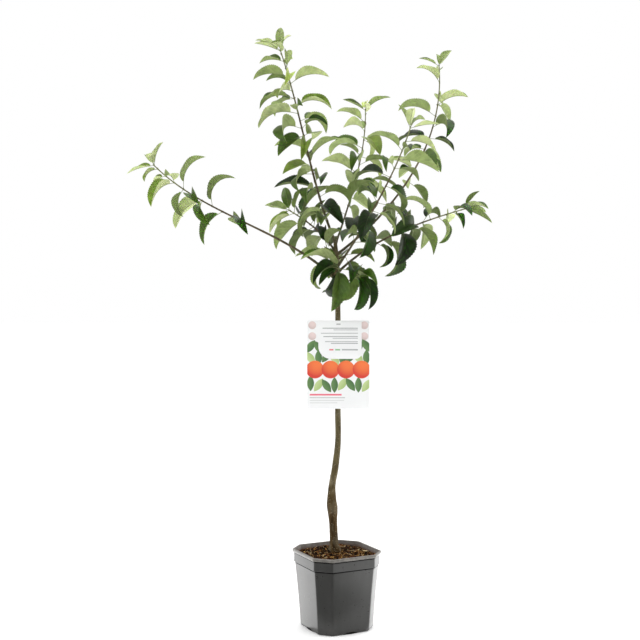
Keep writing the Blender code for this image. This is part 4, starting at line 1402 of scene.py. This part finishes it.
def add_blades(leaves, name, rng):
    """All the blades of one mass, each shaped from the blank, with its tone as a material."""
    blank = blade_blank()
    flat = np.array([vert.co[:] for vert in blank.vertices])
    bm = bmesh.new()
    for leaf in leaves:
        start = len(bm.verts)
        first_face = len(bm.faces)
        bm.from_mesh(blank)
        bm.verts.ensure_lookup_table()
        bm.faces.ensure_lookup_table()
        spots = blade_form(leaf, flat, rng)
        for vert, spot in zip(bm.verts[start:], spots):
            vert.co = spot
        tone = leaf_tone(leaf, name, rng)
        for face in bm.faces[first_face:]:
            face.material_index += 2 * tone
    bpy.data.meshes.remove(blank)
    bmesh.ops.remove_doubles(bm, verts=bm.verts, dist=BLADE_WELD)
    bmesh.ops.recalc_face_normals(bm, faces=bm.faces)
    return bm


def leaf_tone(leaf, name, rng):
    """Picks a tone by the light that the mass stands in and by the age of the leaf."""
    light = LIGHT.get(name, SPUR_LIGHT) + AGE_LIGHT * (leaf.age - 0.5) + rng.gauss(0, LIGHT_STRAY)
    return min(len(TONES) - 1, max(0, round(light)))


def add_ribs(leaves):
    """The stalks: each grows out of the stem, runs under its blade and thins to the blade's tip."""
    bm = bmesh.new()
    shares = np.array(RIB_SHARES)
    turns = [corner / STALK_SIDES * math.tau for corner in range(STALK_SIDES)]
    radii = np.concatenate([STALK_RADII, 0.00072 * (1 - shares) ** 0.7 + 0.00008])
    for leaf in leaves:
        blade = leaf_points(leaf, shares, np.zeros(len(shares)), RIB_DEPTH)
        starts = np.array((-0.0012, 0.0006, 0.003, 0.4 * leaf.stalk, 0.75 * leaf.stalk))
        points = np.concatenate([leaf.root + starts[:, None] * leaf.out, blade])
        along = np.gradient(points, axis=0)
        along /= np.linalg.norm(along, axis=1)[:, None]
        beside = np.cross(along, leaf.across)
        rings = []
        for point, flat, radius in zip(points, beside, radii):
            rings.append([
                point + radius * (math.cos(turn) * leaf.across + math.sin(turn) * flat)
                for turn in turns
            ])
        grow_body(bm, rings)
    bmesh.ops.recalc_face_normals(bm, faces=bm.faces)
    return bm


def add_bud(bm, start, along, size):
    """A pointed bud, longer than it is wide, that looks along its stem or leans off it."""
    axis = Vector(along).to_track_quat("Z", "Y").to_matrix()
    for vert in bmesh.ops.create_icosphere(bm, subdivisions=1, radius=1.0)["verts"]:
        taper = 1.0 if vert.co.z < 0 else 1 - 0.55 * vert.co.z
        width = vert.co.x * BUD_WIDTH * taper
        shaped = Vector((width, vert.co.y * BUD_DEPTH * taper, vert.co.z + BUD_SEAT))
        vert.co = Vector(start) + axis @ (shaped * size)


def grow_twig(stem, place, radii_at, foot, rings, turn, relief):
    """The stem that carries the leaves, with a bud at every joint and one at its tip."""
    shares = np.linspace(foot, 1.0, rings)
    aside = aside_of(stem)
    bm = wrap_limb(place(shares), radii_at(shares), aside, TWIG_SIDES, relief, (foot, 1.0))
    for joint in range(stem.joints):
        share = joint_share((joint + 0.5) / stem.joints, max(foot, 0.01) + FIRST_LEAF)
        here, ahead = place([share, min(1.0, share + 0.002) + 0.0005])
        along = unit(ahead - here)
        level = unit(np.cross(along, aside))
        angle = turn + math.radians(joint * SPIRAL)
        spoke = math.cos(angle) * level + math.sin(angle) * np.cross(along, level)
        skin = here + spoke * (radii_at([share])[0] * 0.75)
        add_bud(bm, skin, unit(along + 0.75 * spoke), BUD_LENGTH)
    here, ahead = place([TIP_SHARE, min(1.0, TIP_SHARE + 0.002) + 0.0005])
    add_bud(bm, here, unit(ahead - here), TIP_BUD_LENGTH)
    return bm


def vein_group():
    """Veins on a blade, from its own coordinates: the main ones and the fine net between."""
    group, result = new_group("leaf_veins", (), ("Main", "Net"))
    own = axes_node(group, group.nodes.new("ShaderNodeUVMap").outputs["UV"])
    off_rib = math_node(group, "ABSOLUTE", difference(group, own["Y"], 0.5))
    slanted = difference(group, own["X"], product(group, off_rib, 2 * VEIN_SLANT))
    cycle = math_node(group, "FRACT", product(group, slanted, VEINS))
    from_vein = math_node(group, "ABSOLUTE", difference(group, cycle, 0.5))
    side_vein = range_node(group, from_vein, 0.43, 0.48)
    rib = range_node(group, off_rib, 0.035, 0.018)
    cells = group.nodes.new("ShaderNodeTexVoronoi")
    cells.feature = "DISTANCE_TO_EDGE"
    feed(group, cells, {"Vector": place_node(group), "Scale": 620.0})
    net = range_node(group, cells.outputs["Distance"], 0.10, 0.0)
    feed(group, result, {"Main": math_node(group, "MAXIMUM", side_vein, rib), "Net": net})
    return group


leaf_veins = vein_group()


def veined_colour(tree, veins, cloud, shades, main, net):
    """A mottled face with its veins drawn in, from a deep, a light and a pale colour."""
    deep, light, pale = shades
    base = blend_node(tree, range_node(tree, cloud, 0.32, 0.68), deep, light)
    drawn = product(tree, veins["Main"], main)
    netted = product(tree, veins["Net"], net)
    return blend_node(tree, math_node(tree, "MAXIMUM", drawn, netted), base, pale)


def let_light_in(tree, shader, radius):
    """Lets a little light through the thin blade."""
    feed(tree, shader, {
        "Subsurface Weight": 0.25, "Subsurface Radius": radius, "Subsurface Scale": 0.0015,
    })


def top_finish(tone, colour):
    """The waxy upper face: mottled green with paler, sunken veins."""
    material, tree, shader = new_finish(f"leaf_top_{tone}", colour, 0.42, 0.20)
    veins = group_node(tree, leaf_veins, {})
    cloud = noise_node(tree, place_node(tree), 55.0, 4.0, 0.6)
    shades = (tinted(colour, 0.62), tinted(colour, 1.35), tinted(colour, 1.7, 0.02))
    feed(tree, shader, {
        "Base Color": veined_colour(tree, veins, cloud, shades, 0.55, 0.06),
        "Roughness": range_node(tree, cloud, 0.3, 0.7, 0.36, 0.50),
    })
    sunk = total(tree, veins["Main"], product(tree, veins["Net"], 0.08))
    let_light_in(tree, shader, (0.6, 1.0, 0.25))
    bump_node(tree, product(tree, sunk, -1.0), shader, 0.00010, 0.5)
    return material


def under_finish(tone, colour):
    """The felted under face: pale grey-green with raised veins and little shine."""
    material, tree, shader = new_finish(f"leaf_under_{tone}", colour, 0.80, 0.12)
    veins = group_node(tree, leaf_veins, {})
    felt = noise_node(tree, place_node(tree), 900.0, 3.0, 0.6)
    cloud = noise_node(tree, place_node(tree), 60.0, 3.0, 0.6)
    shades = (tinted(colour, 0.70), tinted(colour, 1.18), tinted(colour, 1.3, 0.02))
    feed(tree, shader, {"Base Color": veined_colour(tree, veins, cloud, shades, 0.7, 0.12)})
    raised = total(tree, veins["Main"], product(tree, felt, 0.25))
    let_light_in(tree, shader, (0.7, 1.0, 0.35))
    bump_node(tree, raised, shader, 0.00010, 0.6)
    return material


def rib_finish():
    """Downy stalk and midrib, pale green."""
    material, tree, shader = new_finish("leaf_stalk", STALK, 0.6, 0.3)
    down = noise_node(tree, place_node(tree), 480.0, 4.0, 0.7)
    shade = range_node(tree, down, 0.35, 0.65)
    feed(tree, shader, {"Base Color": blend_node(tree, shade, STALK_DARK, STALK_LIGHT)})
    bump_node(tree, down, shader, 0.0001)
    return material


leaf_finishes = []
for tone in TONES:
    leaf_finishes.append(top_finish(tone, TOP_COLOURS[tone]))
    leaf_finishes.append(under_finish(tone, UNDER_COLOURS[tone]))
leaf_stalk = rib_finish()
limbs = all_limbs()
grown = [(spur.name, spur_points(spur, np.linspace(0, 1, 16))) for spur in SPURS]
crown = {}
for name, *rule in stem_rules():
    crown[name] = fit_leaves(name, rule, limbs, grown)
tone_rng = random.Random(TONE_SEED)
for name, leaves in crown.items():
    blades = add_piece(f"leaves_{name}", add_blades(leaves, name, tone_rng), leaf_finishes, 40)
    stalks = add_piece(f"stalks_{name}", add_ribs(leaves), [leaf_stalk], 50)
    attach(blades, "root")
    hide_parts(f"foliage_{name}")
    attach(stalks, "root")
for shoot in SHOOTS:
    place = lambda at, shoot=shoot: shoot_points(shoot, at)
    radii_at = lambda at, shoot=shoot: shoot_radii(shoot, at)
    relief = shoot_relief(shoot, (shoot.bare, 1.0))
    turn = math.radians(shoot.first)
    bm = grow_twig(shoot, place, radii_at, shoot.bare, TWIG_RINGS, turn, relief)
    twig = add_piece(f"twig_{shoot.name}", bm, [bough_bark], 60)
    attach(twig, "root")
for spur in SPURS:
    place = lambda at, spur=spur: spur_points(spur, at)
    radii_at = lambda at: SPUR_RADIUS * (1 - SPUR_TAPER * np.asarray(at, float))
    wrinkles = lambda turn, share: SPUR_WRINKLES * np.cos(share * 40)
    bm = grow_twig(spur, place, radii_at, 0.0, SPUR_RINGS, 0.0, wrinkles)
    twig = add_piece(f"twig_{spur.name}", bm, [bough_bark], 60)
    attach(twig, "root")

# ---------------------------------------------------------------------------------------------
# Label: a card of coated board in front of the trunk, printed all over, with a folded care flap
# glued over its top and a paper strap looped round the trunk behind it.
CARD_HEIGHT = 0.210
CARD_THICK = 0.0008
CARD_BOW = 0.0010
BOW_STEPS = 14
FLAP_WIDTH = 0.103
FLAP_HEIGHT = 0.091
FLAP_CENTRE_X = 0.0075
FLAP_LEFT_ROUND = 0.030
FLAP_LEFT_STEPS = 12
FLAP_RIGHT_ROUND = 0.014
FLAP_RIGHT_STEPS = 8
LABEL_GAP = 0.0003
STRAP_WIDTH = 0.012
STRAP_THICK = 0.0006
STRAP_HEIGHT = 0.700
STRAP_RADIUS = 0.0080
STRAP_STEPS = 32
PRINT_RED = (0.66, 0.055, 0.035)
PRINT_ORANGE = (0.92, 0.23, 0.06)
PRINT_GREEN = (0.060, 0.150, 0.050)
PRINT_LIME = (0.36, 0.50, 0.17)
PRINT_GREY = (0.42, 0.43, 0.43)
PRINT_BLUSH = (0.80, 0.66, 0.64)
PRINT_DARK_GREEN = (0.14, 0.26, 0.09)
PRINT_PALE_LIME = (0.55, 0.66, 0.32)
PRINT_DARK_BLUSH = (0.62, 0.50, 0.48)
PRINT_DARK_GREY = (0.30, 0.31, 0.31)
PRINT_PALE_GREY = (0.60, 0.61, 0.60)
PAPER_WHITE = (0.86, 0.87, 0.87)
# The card's layout goes from its left side and its foot, but the pale spots' from its top.
PALE_SPOT_START = (0.012, 0.011)
PALE_SPOT_STEP = (0.062, 0.026)
PALE_SPOT_RADIUS = 0.0095
SPRIG_START = 0.008
SPRIG_STEP = 0.0190
SPRIG_HEIGHTS = (0.148, 0.122, 0.058)
SPRIG_STRAY = 0.004
SPRIG_TURNS = (55, 125, 90)
SPRIG_LENGTH = 0.0190
SPRIG_WIDTH = 0.0085
SPRIG_INKS = ((PRINT_GREEN, PRINT_DARK_GREEN), (PRINT_LIME, PRINT_PALE_LIME))
SPRIG_SEED = 29
FRUIT_START = 0.0185
FRUIT_STEP = 0.037
FRUIT_HEIGHT = 0.0935
FRUIT_RADIUS = 0.0215
# Each bar's start, end, foot, top and ink.
CARD_BARS = (
    (0.006, 0.082, 0.0315, 0.0355, (0.80, 0.16, 0.22)),
    (0.006, 0.090, 0.0255, 0.0272, PRINT_GREY),
    (0.006, 0.088, 0.0195, 0.0209, PRINT_PALE_GREY),
    (0.006, 0.072, 0.0135, 0.0148, PRINT_PALE_GREY),
)
# The flap's layout goes from its left side and its top. A rule has its start and its line.
FLAP_TITLE = (0.043, 0.053, 0.0100, 0.0070)
FLAP_RULES = ((0.010, 0), (0.036, 1), (0.006, 3), (0.012, 5), (0.034, 6), (0.016, 8), (0.030, 9))
FLAP_RULE_END = 0.094
FLAP_RULE_TOP = 0.0180
FLAP_RULE_STEP = 0.0040
FLAP_RULE_HALF = 0.0009
FLAP_MARKS = (
    (0.026, 0.036, (0.70, 0.18, 0.20)),
    (0.040, 0.052, (0.25, 0.48, 0.24)),
    (0.056, 0.094, PRINT_GREY),
)
FLAP_MARK_FOOT = 0.0710
FLAP_MARK_TOP = 0.0675


def printed_group(name, inputs):
    """A group for one printed shape, with the way across and up from that shape's middle."""
    group, result = new_group(name, ("Across", "Up", *inputs), ("Mask", "Shade"))
    given = group.nodes.new("NodeGroupInput").outputs
    place = axes_node(group, place_node(group))
    across = difference(group, place["X"], given["Across"])
    up = difference(group, place["Z"], given["Up"])
    return group, given, result, across, up


def spot_group():
    """A printed round spot, shaded like a ball: mask and shade."""
    group, given, result, across, up = printed_group("printed_spot", ("Radius",))
    across = math_node(group, "DIVIDE", across, given["Radius"])
    up = math_node(group, "DIVIDE", up, given["Radius"])
    square = total(group, product(group, across, across), product(group, up, up))
    light = total(group, product(group, up, 0.55), product(group, across, 0.2))
    feed(group, result, {
        "Mask": range_node(group, math_node(group, "SQRT", square), 1.0, 0.97),
        "Shade": difference(group, total(group, light, 0.62), product(group, square, 0.45)),
    })
    return group


def sprig_group():
    """A printed pointed leaf, set by its turn, length and width: mask and shade."""
    group, given, result, across, up = printed_group("printed_sprig", ("Turn", "Length", "Width"))
    cosine = math_node(group, "COSINE", given["Turn"])
    sine = math_node(group, "SINE", given["Turn"])
    along = total(group, product(group, across, cosine), product(group, up, sine))
    beside = difference(group, product(group, up, cosine), product(group, across, sine))
    along = math_node(group, "DIVIDE", along, given["Length"])
    beside = math_node(group, "DIVIDE", beside, given["Width"])
    outline = total(group, product(group, along, along), math_node(group, "ABSOLUTE", beside))
    feed(group, result, {
        "Mask": range_node(group, outline, 1.0, 0.96),
        "Shade": total(group, product(group, beside, 0.5), 0.5),
    })
    return group


def print_shape(tree, group, values, under, dark, light):
    """Prints one shape over what is there, shaded between two inks."""
    shape = group_node(tree, group, values)
    ink = blend_node(tree, range_node(tree, shape["Shade"], 0.0, 1.0), dark, light)
    return blend_node(tree, shape["Mask"], under, ink)


def print_bar(tree, left, right, foot, top, under, ink):
    """Prints a plain bar, between two sides and two heights, over what is there."""
    place = axes_node(tree, place_node(tree))
    mask = 1.0
    for axis, low, high in (("X", left, right), ("Z", foot, top)):
        mask = product(tree, math_node(tree, "GREATER_THAN", place[axis], low), mask)
        mask = product(tree, math_node(tree, "LESS_THAN", place[axis], high), mask)
    return blend_node(tree, mask, under, ink)


def board_finish(name):
    """White coated board with a faint tooth, and a soft gloss."""
    material, tree, shader = new_finish(name, PAPER_WHITE, 0.42, 0.4)
    tooth = noise_node(tree, place_node(tree), 700.0, 3.0)
    clean = tinted(PAPER_WHITE, 0.985)
    paper = blend_node(tree, range_node(tree, tooth, 0.3, 0.7), clean, PAPER_WHITE)
    bump_node(tree, tooth, shader, 0.00003)
    return material, tree, shader, paper


def card_finish():
    """The card's print: a row of round fruit-coloured spots among pointed leaf shapes."""
    material, tree, shader, ink = board_finish("card_print")
    spot = spot_group()
    sprig = sprig_group()
    left = CARD_CENTRE_X - CARD_WIDTH / 2
    foot = CARD_TOP - CARD_HEIGHT
    rng = random.Random(SPRIG_SEED)
    for column in range(3):
        for row in range(2):
            values = {
                "Across": left + PALE_SPOT_START[0] + PALE_SPOT_STEP[0] * column,
                "Up": CARD_TOP - PALE_SPOT_START[1] - PALE_SPOT_STEP[1] * row,
                "Radius": PALE_SPOT_RADIUS,
            }
            ink = print_shape(tree, spot, values, ink, PRINT_DARK_BLUSH, PRINT_BLUSH)
    for column in range(8):
        for row, height in enumerate(SPRIG_HEIGHTS):
            values = {
                "Across": left + SPRIG_START + SPRIG_STEP * column,
                "Up": foot + height + rng.uniform(-SPRIG_STRAY, SPRIG_STRAY),
                "Turn": math.radians(SPRIG_TURNS[(column + row) % 3]),
                "Length": SPRIG_LENGTH,
                "Width": SPRIG_WIDTH,
            }
            dark, light = SPRIG_INKS[(column + 2 * row) % 3 // 2]
            ink = print_shape(tree, sprig, values, ink, dark, light)
    for column in range(4):
        across = left + FRUIT_START + FRUIT_STEP * column
        values = {"Across": across, "Up": foot + FRUIT_HEIGHT, "Radius": FRUIT_RADIUS}
        ink = print_shape(tree, spot, values, ink, PRINT_RED, PRINT_ORANGE)
    for start, end, low, high, colour in CARD_BARS:
        ink = print_bar(tree, left + start, left + end, foot + low, foot + high, ink, colour)
    feed(tree, shader, {"Base Color": ink})
    return material


def flap_finish():
    """The flap's print: rows of plain rules, a short red one and a short green one."""
    material, tree, shader, ink = board_finish("flap_print")
    left = FLAP_CENTRE_X - FLAP_WIDTH / 2
    start, end, low, high = FLAP_TITLE
    ink = print_bar(
        tree, left + start, left + end, CARD_TOP - low, CARD_TOP - high, ink, PRINT_GREY,
    )
    for row, (start, step) in enumerate(FLAP_RULES):
        height = CARD_TOP - FLAP_RULE_TOP - step * FLAP_RULE_STEP
        colour = PRINT_GREY if row % 3 else PRINT_DARK_GREY
        ink = print_bar(
            tree, left + start, left + FLAP_RULE_END,
            height - FLAP_RULE_HALF, height + FLAP_RULE_HALF, ink, colour,
        )
    for start, end, colour in FLAP_MARKS:
        ink = print_bar(
            tree, left + start, left + end,
            CARD_TOP - FLAP_MARK_FOOT, CARD_TOP - FLAP_MARK_TOP, ink, colour,
        )
    feed(tree, shader, {"Base Color": ink})
    return material


def strap_finish():
    material, tree, shader, paper = board_finish("strap_paper")
    feed(tree, shader, {"Base Color": paper})
    return material


def flap_outline():
    """A flap with square top corners and rounded lower corners, the left one larger."""
    left = FLAP_CENTRE_X - FLAP_WIDTH / 2
    right = FLAP_CENTRE_X + FLAP_WIDTH / 2
    foot = CARD_TOP - FLAP_HEIGHT
    outline = [(right, CARD_TOP), (left, CARD_TOP)]
    for step in range(FLAP_LEFT_STEPS + 1):
        turn = math.pi + step / FLAP_LEFT_STEPS * math.pi / 2
        outline.append((
            left + FLAP_LEFT_ROUND * (1 + math.cos(turn)),
            foot + FLAP_LEFT_ROUND * (1 + math.sin(turn)),
        ))
    for step in range(FLAP_RIGHT_STEPS + 1):
        turn = 1.5 * math.pi + step / FLAP_RIGHT_STEPS * math.pi / 2
        outline.append((
            right - FLAP_RIGHT_ROUND * (1 - math.cos(turn)),
            foot + FLAP_RIGHT_ROUND * (1 + math.sin(turn)),
        ))
    return outline


def strap_route(centre, start_y):
    """From the card's back, round behind the trunk and back: place and outward direction."""
    radius = STRAP_RADIUS + STRAP_THICK / 2
    route = [(centre[0] + radius, start_y, 1.0, 0.0)]
    for step in range(STRAP_STEPS + 1):
        turn = step / STRAP_STEPS * math.pi
        route.append((
            centre[0] + radius * math.cos(turn),
            centre[1] + radius * math.sin(turn),
            math.cos(turn),
            math.sin(turn),
        ))
    route.append((centre[0] - radius, start_y, -1.0, 0.0))
    return route


def sheet_of_board(outline, front, thick, bow):
    """A sheet cut to its outline, softly rounded at the edges, its foot bowed a little forward."""
    bm = bmesh.new()
    face = bm.faces.new([bm.verts.new((x, front, z)) for x, z in outline])
    solid = bmesh.ops.extrude_face_region(bm, geom=[face, *face.edges])["geom"]
    for item in solid:
        if isinstance(item, bmesh.types.BMVert):
            item.co.y += thick
    bmesh.ops.recalc_face_normals(bm, faces=bm.faces)
    rim = [edge for edge in bm.edges if abs(edge.verts[0].co.y - edge.verts[1].co.y) < thick / 2]
    bmesh.ops.bevel(
        bm, geom=rim, offset=thick * 0.3, segments=2, profile=0.5, affect="EDGES", material=-1,
    )
    top = max(z for _, z in outline)
    height = top - min(z for _, z in outline)
    for step in range(1, BOW_STEPS):
        level = (0, 0, top - height * step / BOW_STEPS)
        sheet = bm.verts[:] + bm.edges[:] + bm.faces[:]
        bmesh.ops.bisect_plane(bm, geom=sheet, plane_co=level, plane_no=(0, 0, 1))
    for vert in bm.verts:
        drop = (top - vert.co.z) / height
        vert.co.y -= bow * drop**2
    return bm


card_left = CARD_CENTRE_X - CARD_WIDTH / 2
card_right = CARD_CENTRE_X + CARD_WIDTH / 2
card_foot = CARD_TOP - CARD_HEIGHT
card_edges = [
    (card_left, card_foot), (card_right, card_foot), (card_right, CARD_TOP), (card_left, CARD_TOP),
]
bm = sheet_of_board(card_edges, CARD_FRONT, CARD_THICK, CARD_BOW)
card = add_piece("label_card_print", bm, [card_finish()])
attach(card, "root")
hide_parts("label_card")

flap_front = CARD_FRONT - LABEL_GAP - CARD_THICK
bm = sheet_of_board(flap_outline(), flap_front, CARD_THICK, CARD_BOW)
flap = add_piece("label_flap_print", bm, [flap_finish()])
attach(flap, "root")
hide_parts("label_flap")

strap_centre = trunk_axis(STRAP_HEIGHT)
strap_rings = []
for x, y, across_x, across_y in strap_route(strap_centre, CARD_FRONT + CARD_THICK + LABEL_GAP):
    inner = (x - across_x * STRAP_THICK / 2, y - across_y * STRAP_THICK / 2)
    outer = (x + across_x * STRAP_THICK / 2, y + across_y * STRAP_THICK / 2)
    low = STRAP_HEIGHT - STRAP_WIDTH / 2
    high = STRAP_HEIGHT + STRAP_WIDTH / 2
    strap_rings.append([(*inner, low), (*outer, low), (*outer, high), (*inner, high)])
strap = add_piece("label_strap_paper", loft(strap_rings), [strap_finish()])
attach(strap, "root")
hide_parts("label_strap")
